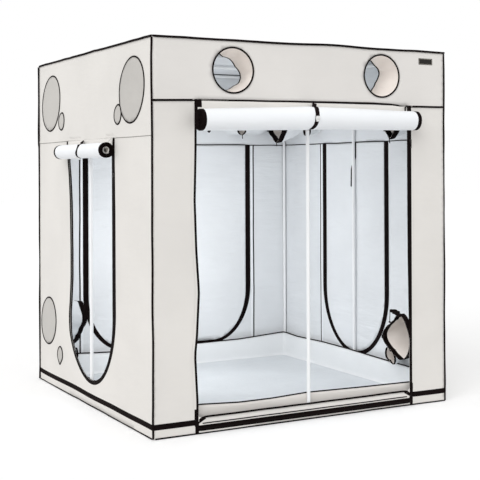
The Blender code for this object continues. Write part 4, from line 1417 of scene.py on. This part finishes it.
BACK_CABLE_MOUTH = ((0.078, -0.028), (0.047, -0.060), (0.014, -0.028), (0.012, 0.0), (0.045, 0.02),
                    (0.078, 0.0))

# Depths of the sleeves and their hems
FRONT_SLEEVE = (0.15, 0.012)
LOW_SLEEVES = (("right", RIGHT_LOW_MOUTH, (0.197, 0.036)), ("left", LEFT_LOW_MOUTH, (0.197, 0.034)))
LOW_CABLE_SLEEVE = (0.10, 0.013)
DUCT_SLEEVE = (0.197, 0.042)
CABLE_SLEEVE = (0.125, 0.020)
DUCT_TAIL = (0.030, (0.002, -0.004))
CABLE_TAIL = (0.034, (0.003, 0.002))

# The low sleeves' drawcords, seen from the vent's middle, with their radius and knot; then the hem's gathers,
# as places and heights, and the cord locks, as places, sizes and bevels
LOW_DRAWCORDS = (
    ("low_drawcord_left", "left",
     ((0.132, -0.036, -0.170), (0.125, -0.048, -0.196), (0.060, -0.105, -0.200), (0.015, -0.146, -0.200),
      (-0.069, -0.182, -0.200), (-0.104, -0.216, -0.202), (-0.084, -0.262, -0.202), (-0.040, -0.298, -0.202)),
     0.0042, 0.015),
    ("low_drawcord_left_tail", "left",
     ((0.050, -0.106, -0.201), (0.054, -0.16, -0.201), (0.055, -0.232, -0.201)), 0.0026, 0.006),
)
RIGHT_DRAWCORD = (
    "low_drawcord_right", "right",
    ((0.020, 0.098, -0.198), (0.05, 0.114, -0.198), (0.085, 0.116, -0.198), (0.104, 0.108, -0.198),
     (0.104, 0.085, -0.198), (0.107, 0.037, -0.198)), 0.0024, 0.008)
GATHERS = ((0.012, 0.092, 0.022), (0.034, 0.102, 0.030), (0.062, 0.108, 0.030), (0.090, 0.110, 0.020))
CORD_LOCKS = (
    ("right", (0.180, -0.066, -0.200), (0.018, 0.024, 0.012), 0.003),
    ("left", (-0.106, -0.203, -0.203), (0.044, 0.036, 0.014), 0.005),
    ("left", (-0.090, -0.252, -0.203), (0.034, 0.042, 0.014), 0.005),
)


def polar(outline, middle):
    """A closed line's reach from a middle, ready to be read at any turn."""
    moved = [(u - middle[0], v - middle[1]) for u, v in outline]
    found = sorted((math.atan2(v, u) % FULL_TURN, math.hypot(u, v)) for u, v in moved)
    turns, reaches = zip(*found)
    table = ((turns[-1] - FULL_TURN, *turns, turns[0] + FULL_TURN), (reaches[-1], *reaches, reaches[0]))
    return lambda turn: read(table, turn % FULL_TURN)


def sleeve_spots(wall, vent, mouth, depth):
    """A sleeve's point for a side and a share of its depth, from the vent's ring to the mouth's line."""
    centre_u, centre_v, radius = vent
    shift = [(min(axis) + max(axis)) / 2 for axis in zip(*mouth)]
    reach_at = polar(mouth, shift)

    def spot(number, share):
        turn = FULL_TURN * number / SLEEVE_SIDES
        change = smooth_step(share * 1.1 - 0.05)
        round_x, round_y = math.cos(turn), math.sin(turn)
        gather = math.sin(7 * turn + 3 * wobble(round_x, round_y, centre_u * 7) + 2 * share)
        slack = SLEEVE_SLACK * gather * math.sin(math.pi * min(share * 1.2, 1))
        reach = (radius * (1 - change) + reach_at(turn) * change) * (1 + slack)
        lean = SLEEVE_LEAN * share * wobble(round_x * 1.5, round_y * 1.5, centre_v * 3)
        return at_wall(wall, centre_u + shift[0] * change + reach * round_x,
                       centre_v + shift[1] * change + reach * round_y, SLEEVE_BACK - depth * share + lean)

    return spot


def lofted(rings, radius):
    """The cloth between rings of points round a vent."""
    shape = Shape()
    around = [radius * FULL_TURN * number / SLEEVE_SIDES for number in range(SLEEVE_SIDES + 1)]
    shape.add([point for ring in rings for point in ring], grid_faces(len(rings), SLEEVE_SIDES, ring=True),
              grid_places(around, [SLEEVE_ROW * row for row in range(len(rings))], turned=True))
    return shape


def make_sleeve(name, wall, vent, mouth, sizes, *nodes):
    """A slack sleeve from a vent's ring to a hemmed mouth, whose line is handed back."""
    u, v, radius = vent
    depth, hem = sizes
    spot = sleeve_spots(wall, vent, mouth, depth)

    def rings_at(shares):
        return [[spot(number, share) for number in range(SLEEVE_SIDES)] for share in shares]

    flange = [at_wall(wall, a, b, SLEEVE_BACK) for a, b in circle(u, v, radius + SLEEVE_RIM, SLEEVE_SIDES)]
    rings = [flange] + rings_at(row / SLEEVE_ROWS for row in range(SLEEVE_ROWS + 1))
    # The sleeve cloth takes the beige that is painted lighter, as painted light.
    cloth = lofted(rings, radius).piece(name + "_cloth", [SLEEVE_PAINTED_LIGHT, LINING], closed=False)
    sleeve = finished(thickened(cloth, SLEEVE_CLOTH, 0.0), "tent", "inner_fabric", *nodes)
    rings = rings_at(1 - hem / depth * part / HEM_PARTS for part in range(HEM_PARTS, -1, -1))
    bound = thickened(lofted(rings, radius).piece(name + "_hem", [TRIM], closed=False), HEM_CLOTH, 0.0, 0)
    finished(bound, "tent", "trim_black")
    return rings[-1]


def make_drawcord(name, wall, points, radius, knot):
    """A limp drawcord that hangs from a low sleeve's hem, with a knot at its end."""
    u, v, _ = LOWER_VENT
    line = [Vector(point) for point in spaced([at_wall(wall, u + a, v + b, w) for a, b, w in points], 0.004)]
    shape = Shape()
    tube(shape, line, radius, sides=6)
    cord = add_trim(shape, name, finishes=(CORD,))
    turns = [2 * FULL_TURN * part / KNOT_PARTS for part in range(KNOT_PARTS + 1)]
    ring = [line[-1] + Vector((0.6 * math.cos(turn), 0.6 * math.sin(turn), 0.5 - turn / 13)) * knot
            for turn in turns]
    tie = Shape()
    tube(tie, ring, radius * 1.2, sides=6)
    declare_cord(cord, line, radius, [add_trim(tie, name + "_knot", finishes=(CORD,))])


def add_tail(name, mouth_line, length, lean):
    """The short webbing tail that is left where a mouth's hem is tied, at its lowest point."""
    start = min(mouth_line, key=lambda point: point.z)
    line = [start + Vector((*lean, 0)) * (part / TAIL_PARTS) ** 2 - UP * (length * part / TAIL_PARTS - 0.004)
            for part in range(TAIL_PARTS + 1)]
    shape = Shape()
    tube(shape, line, TAIL_RADIUS, sides=6)
    add_trim(shape, name)


def make_front_sleeves():
    for side, middle, mouth in zip(("left", "right"), FRONT_VENTS, (LEFT_MOUTH, RIGHT_MOUTH)):
        make_sleeve("front_sleeve_" + side, "front", (*middle, FRONT_VENT_RADIUS), mouth, FRONT_SLEEVE,
                    "vent_sleeve_front_" + side)


def make_low_trim():
    """The gathered hem of the right low sleeve, and the locks on both sleeves' drawcords."""
    u, v, _ = LOWER_VENT
    lump = Shape()
    along, out = wall_axes("right")
    for a, b, height in GATHERS:
        size = 0.036, height, 0.022
        rounded_block(lump, at_wall("right", u + a, v + b, -0.190), along, UP, out, size, 0.006)
    add_trim(lump, "low_sleeve_right_gather")
    lock = Shape()
    for wall, (a, b, w), size, bevel in CORD_LOCKS:
        along, out = wall_axes(wall)
        rounded_block(lock, at_wall(wall, u + a, v + b, w), along, UP, out, size, bevel)
    finished(lock.piece("low_sleeve_cord_locks", [CORD]), "tent", "slider_black")


def make_low_sleeves():
    for wall, mouth, sizes in LOW_SLEEVES:
        make_sleeve("low_sleeve_" + wall, wall, LOWER_VENT, mouth, sizes, f"vent_sleeve_{wall}_low")
    make_drawcord(*RIGHT_DRAWCORD)
    make_low_trim()
    for drawcord in LOW_DRAWCORDS:
        make_drawcord(*drawcord)
    for wall in ("right", "left"):
        make_sleeve("low_cable_sleeve_" + wall, wall, DROP_VENT, LOW_CABLE_MOUTH, LOW_CABLE_SLEEVE)


def upper_mouths(wall, side):
    """The duct's and the cable's mouth behind one side of a wall; the left wall's are mirrored."""
    if wall == "back":
        mouths = BACK_DUCT_MOUTH, BACK_CABLE_MOUTH
    else:
        near = side < 0 if wall == "right" else side > 0
        mouths = NEAR_DUCT_MOUTH if near else DUCT_MOUTH, CABLE_MOUTH
    if wall == "left" or (wall == "back" and side < 0):
        return [[(-u, v) for u, v in mouth] for mouth in mouths]
    return mouths


def make_upper_sleeves():
    """Duct and cable sleeves hang inside from the closed vents of three walls."""
    u, v, radius = UPPER_VENT
    cable_u, cable_v, cable_radius = CABLE_VENT
    for wall in SIDE_WALLS:
        for side, end in ((-1, "_low"), (1, "_high")):
            place = wall + end
            duct, cable = upper_mouths(wall, side)
            line = make_sleeve("upper_sleeve_" + place, wall, (side * u, v, radius - 0.004), duct, DUCT_SLEEVE)
            add_tail("upper_tail_" + place, line, *DUCT_TAIL)
            vent = side * cable_u, cable_v, cable_radius - 0.003
            line = make_sleeve("cable_sleeve_" + place, wall, vent, cable, CABLE_SLEEVE)
            if wall == "back":
                add_tail("cable_tail_" + place, line, *CABLE_TAIL)


def make_inner_strap():
    """The tie strap of the right door hangs inside from its header seam, behind the middle post."""
    line = [at_wall("right", u, v, -0.0034) for u, v in spaced(INNER_STRAP, 0.02)]
    make_strap("right_inner_strap", "right", line, 0.014, body="tent")


def make_post_joints():
    """The seam where each post's two tubes meet."""
    shape = Shape()
    turns = np.linspace(0, FULL_TURN, 24, endpoint=False)
    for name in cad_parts:
        if "post" in name:
            low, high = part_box(name)
            middle = (low + high) / 2
            middle.z = HEIGHT / 2 - 0.004
            radius = (high.x - low.x) / 2
            ring = [middle + Vector((radius * math.cos(turn), radius * math.sin(turn), 0)) for turn in turns]
            tube(shape, ring, 0.0007, sides=6, closed=True)
    finished(shape.piece("post_joint_rings", [FITTING_PLASTIC]), "tent", "fitting_plastic")


def make_vent_rings():
    shape = Shape()
    for u, v in FRONT_VENTS:
        ring = circle(u, v, FRONT_VENT_RADIUS)
        wall_piping(shape, "front", ring, RING_PIPING, step=0.012, wave=0.001, closed=True)
    add_trim(shape, "front_vent_rings")


# Tubes, fittings and sliders, by a word in their names

FRAME_FINISHES = {"post": TUBE_PAINT, "rail": TUBE_PAINT, "hanger": TUBE_PAINT, "fitting": FITTING_PLASTIC,
                  "tee": FITTING_PLASTIC, "slider": ENAMEL}
FRAME_CREASE = math.radians(35)


def dress_frame():
    """The frame's own nodes keep their shapes and get their materials."""
    for name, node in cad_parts.items():
        for word, finish in FRAME_FINISHES.items():
            if word in name:
                node.data.materials.clear()
                node.data.materials.append(finish)
                node.data.polygons.foreach_set("use_smooth", [True] * len(node.data.polygons))
                node.data.set_sharp_from_angle(angle=FRAME_CREASE)


# Floor, light and camera

WHITE = (1, 1, 1, 1)
FLOOR_REACH = 40
FLOOR_DROP = 0.001
FLOOR_GREY = 0.8
FLOOR_GLOW = 0.24
WORLD_LIGHT = 0.72
WORLD_SEEN = 1.0
LIGHT_SIZES = {"SUN": "angle", "AREA": "size", "POINT": "shadow_soft_size"}
LIGHTS = (
    ("key", "SUN", 1.3, (-6, -4.5, 7), (0, 0, 1), math.radians(50)),
    ("inner_glow", "AREA", 6.0, (0, 0, HEIGHT - 0.3), (0, 0.001, 0), 1.2),
    ("inner_fill", "POINT", 11.0, (-0.12, 0.32, 0.78), (0, 0, 0), 0.6),
    ("back_fill", "AREA", 2.3, (-0.1, -0.2, 0.95), (-0.1, 1, 0.9), 1.0),
)
CAMERA_YAW = 0.5068
CAMERA_PITCH = -0.0002
CAMERA_ROLL = -0.0044
CAMERA_PLACE = (-3.3256, -6.4271, 1.4729)
CAMERA_LENS = 81.144
CAMERA_SENSOR = 36
CAMERA_SHIFT = (-0.04713, -0.14781)


def seen_rays(tree):
    """1 for the rays that the camera, a gloss or a clear surface sees."""
    rays = linked(tree, "ShaderNodeLightPath").outputs
    some = maths(tree, "MAXIMUM", rays["Is Camera Ray"], rays["Is Glossy Ray"])
    return maths(tree, "MAXIMUM", some, rays["Is Transmission Ray"])


def pale_floor_material():
    material, tree, shader = new_material("pale_floor")
    grey = (FLOOR_GREY, FLOOR_GREY, FLOOR_GREY, 1)
    set_inputs(tree, shader, {"Base Color": grey, "Roughness": 0.9, "Specular IOR Level": 0.1})
    glow = linked(tree, "ShaderNodeEmission", {"Color": WHITE, "Strength": FLOOR_GLOW}).outputs[0]
    both = linked(tree, "ShaderNodeAddShader", {0: shader.outputs[0], 1: glow}).outputs[0]
    choice = linked(tree, "ShaderNodeMixShader", {0: seen_rays(tree), 1: shader.outputs[0], 2: both})
    tree.links.new(choice.outputs[0], tree.nodes["Material Output"].inputs["Surface"])
    return material


def make_floor():
    mesh = bpy.data.meshes.new("pale_floor")
    corners = rectangle(-FLOOR_REACH, -FLOOR_REACH, FLOOR_REACH, FLOOR_REACH)
    mesh.from_pydata([(x, y, -FLOOR_DROP) for x, y in corners], [], [(0, 1, 2, 3)])
    mesh.materials.append(pale_floor_material())
    floor = bpy.data.objects.new("pale_floor", mesh)
    bpy.context.scene.collection.objects.link(floor)


def make_world():
    world = bpy.data.worlds.new("studio")
    world.use_nodes = True
    tree = world.node_tree
    tree.nodes.clear()
    light, seen = (linked(tree, "ShaderNodeBackground", {"Color": WHITE, "Strength": strength}).outputs[0]
                   for strength in (WORLD_LIGHT, WORLD_SEEN))
    choice = linked(tree, "ShaderNodeMixShader", {0: seen_rays(tree), 1: light, 2: seen}).outputs[0]
    linked(tree, "ShaderNodeOutputWorld", {"Surface": choice})
    bpy.context.scene.world = world


def make_lights():
    for name, kind, power, place, aim, size in LIGHTS:
        data = bpy.data.lights.new(name, kind)
        data.energy = power
        setattr(data, LIGHT_SIZES[kind], size)
        light = bpy.data.objects.new(name, data)
        light.location = place
        light.rotation_euler = (Vector(aim) - Vector(place)).to_track_quat("-Z", "Y").to_euler()
        light.visible_camera = False
        light.visible_glossy = False
        bpy.context.scene.collection.objects.link(light)
    bpy.context.scene.view_settings.view_transform = "Standard"


def make_camera():
    level = Vector((math.cos(CAMERA_YAW), -math.sin(CAMERA_YAW), 0))
    ahead = Vector((math.sin(CAMERA_YAW), math.cos(CAMERA_YAW), 0))
    forward = ahead * math.cos(CAMERA_PITCH) + UP * math.sin(CAMERA_PITCH)
    upright = level.cross(forward)
    right = level * math.cos(CAMERA_ROLL) + upright * math.sin(CAMERA_ROLL)
    up = upright * math.cos(CAMERA_ROLL) - level * math.sin(CAMERA_ROLL)
    data = bpy.data.cameras.new("camera")
    data.lens = CAMERA_LENS
    data.sensor_width = CAMERA_SENSOR
    data.shift_x, data.shift_y = CAMERA_SHIFT
    camera = bpy.data.objects.new("camera", data)
    turned = Matrix((right, up, -forward)).transposed().to_4x4()
    camera.matrix_world = Matrix.Translation(CAMERA_PLACE) @ turned
    bpy.context.scene.collection.objects.link(camera)
    bpy.context.scene.camera = camera


make_camera()
make_world()
make_lights()
make_floor()
make_walls()
make_roof_and_floor()
make_roof_seams()
make_tray()
make_edge_piping()
make_seams()
make_ground_band()
make_sill()
make_zips()
make_front_zip_borders()
make_inner_zip_trim()
make_covers()
make_closed_doors()
make_patch()
make_rolled_doors()
make_end_straps()
make_front_sleeves()
make_low_sleeves()
make_upper_sleeves()
make_inner_strap()
make_post_joints()
make_vent_rings()
dress_frame()
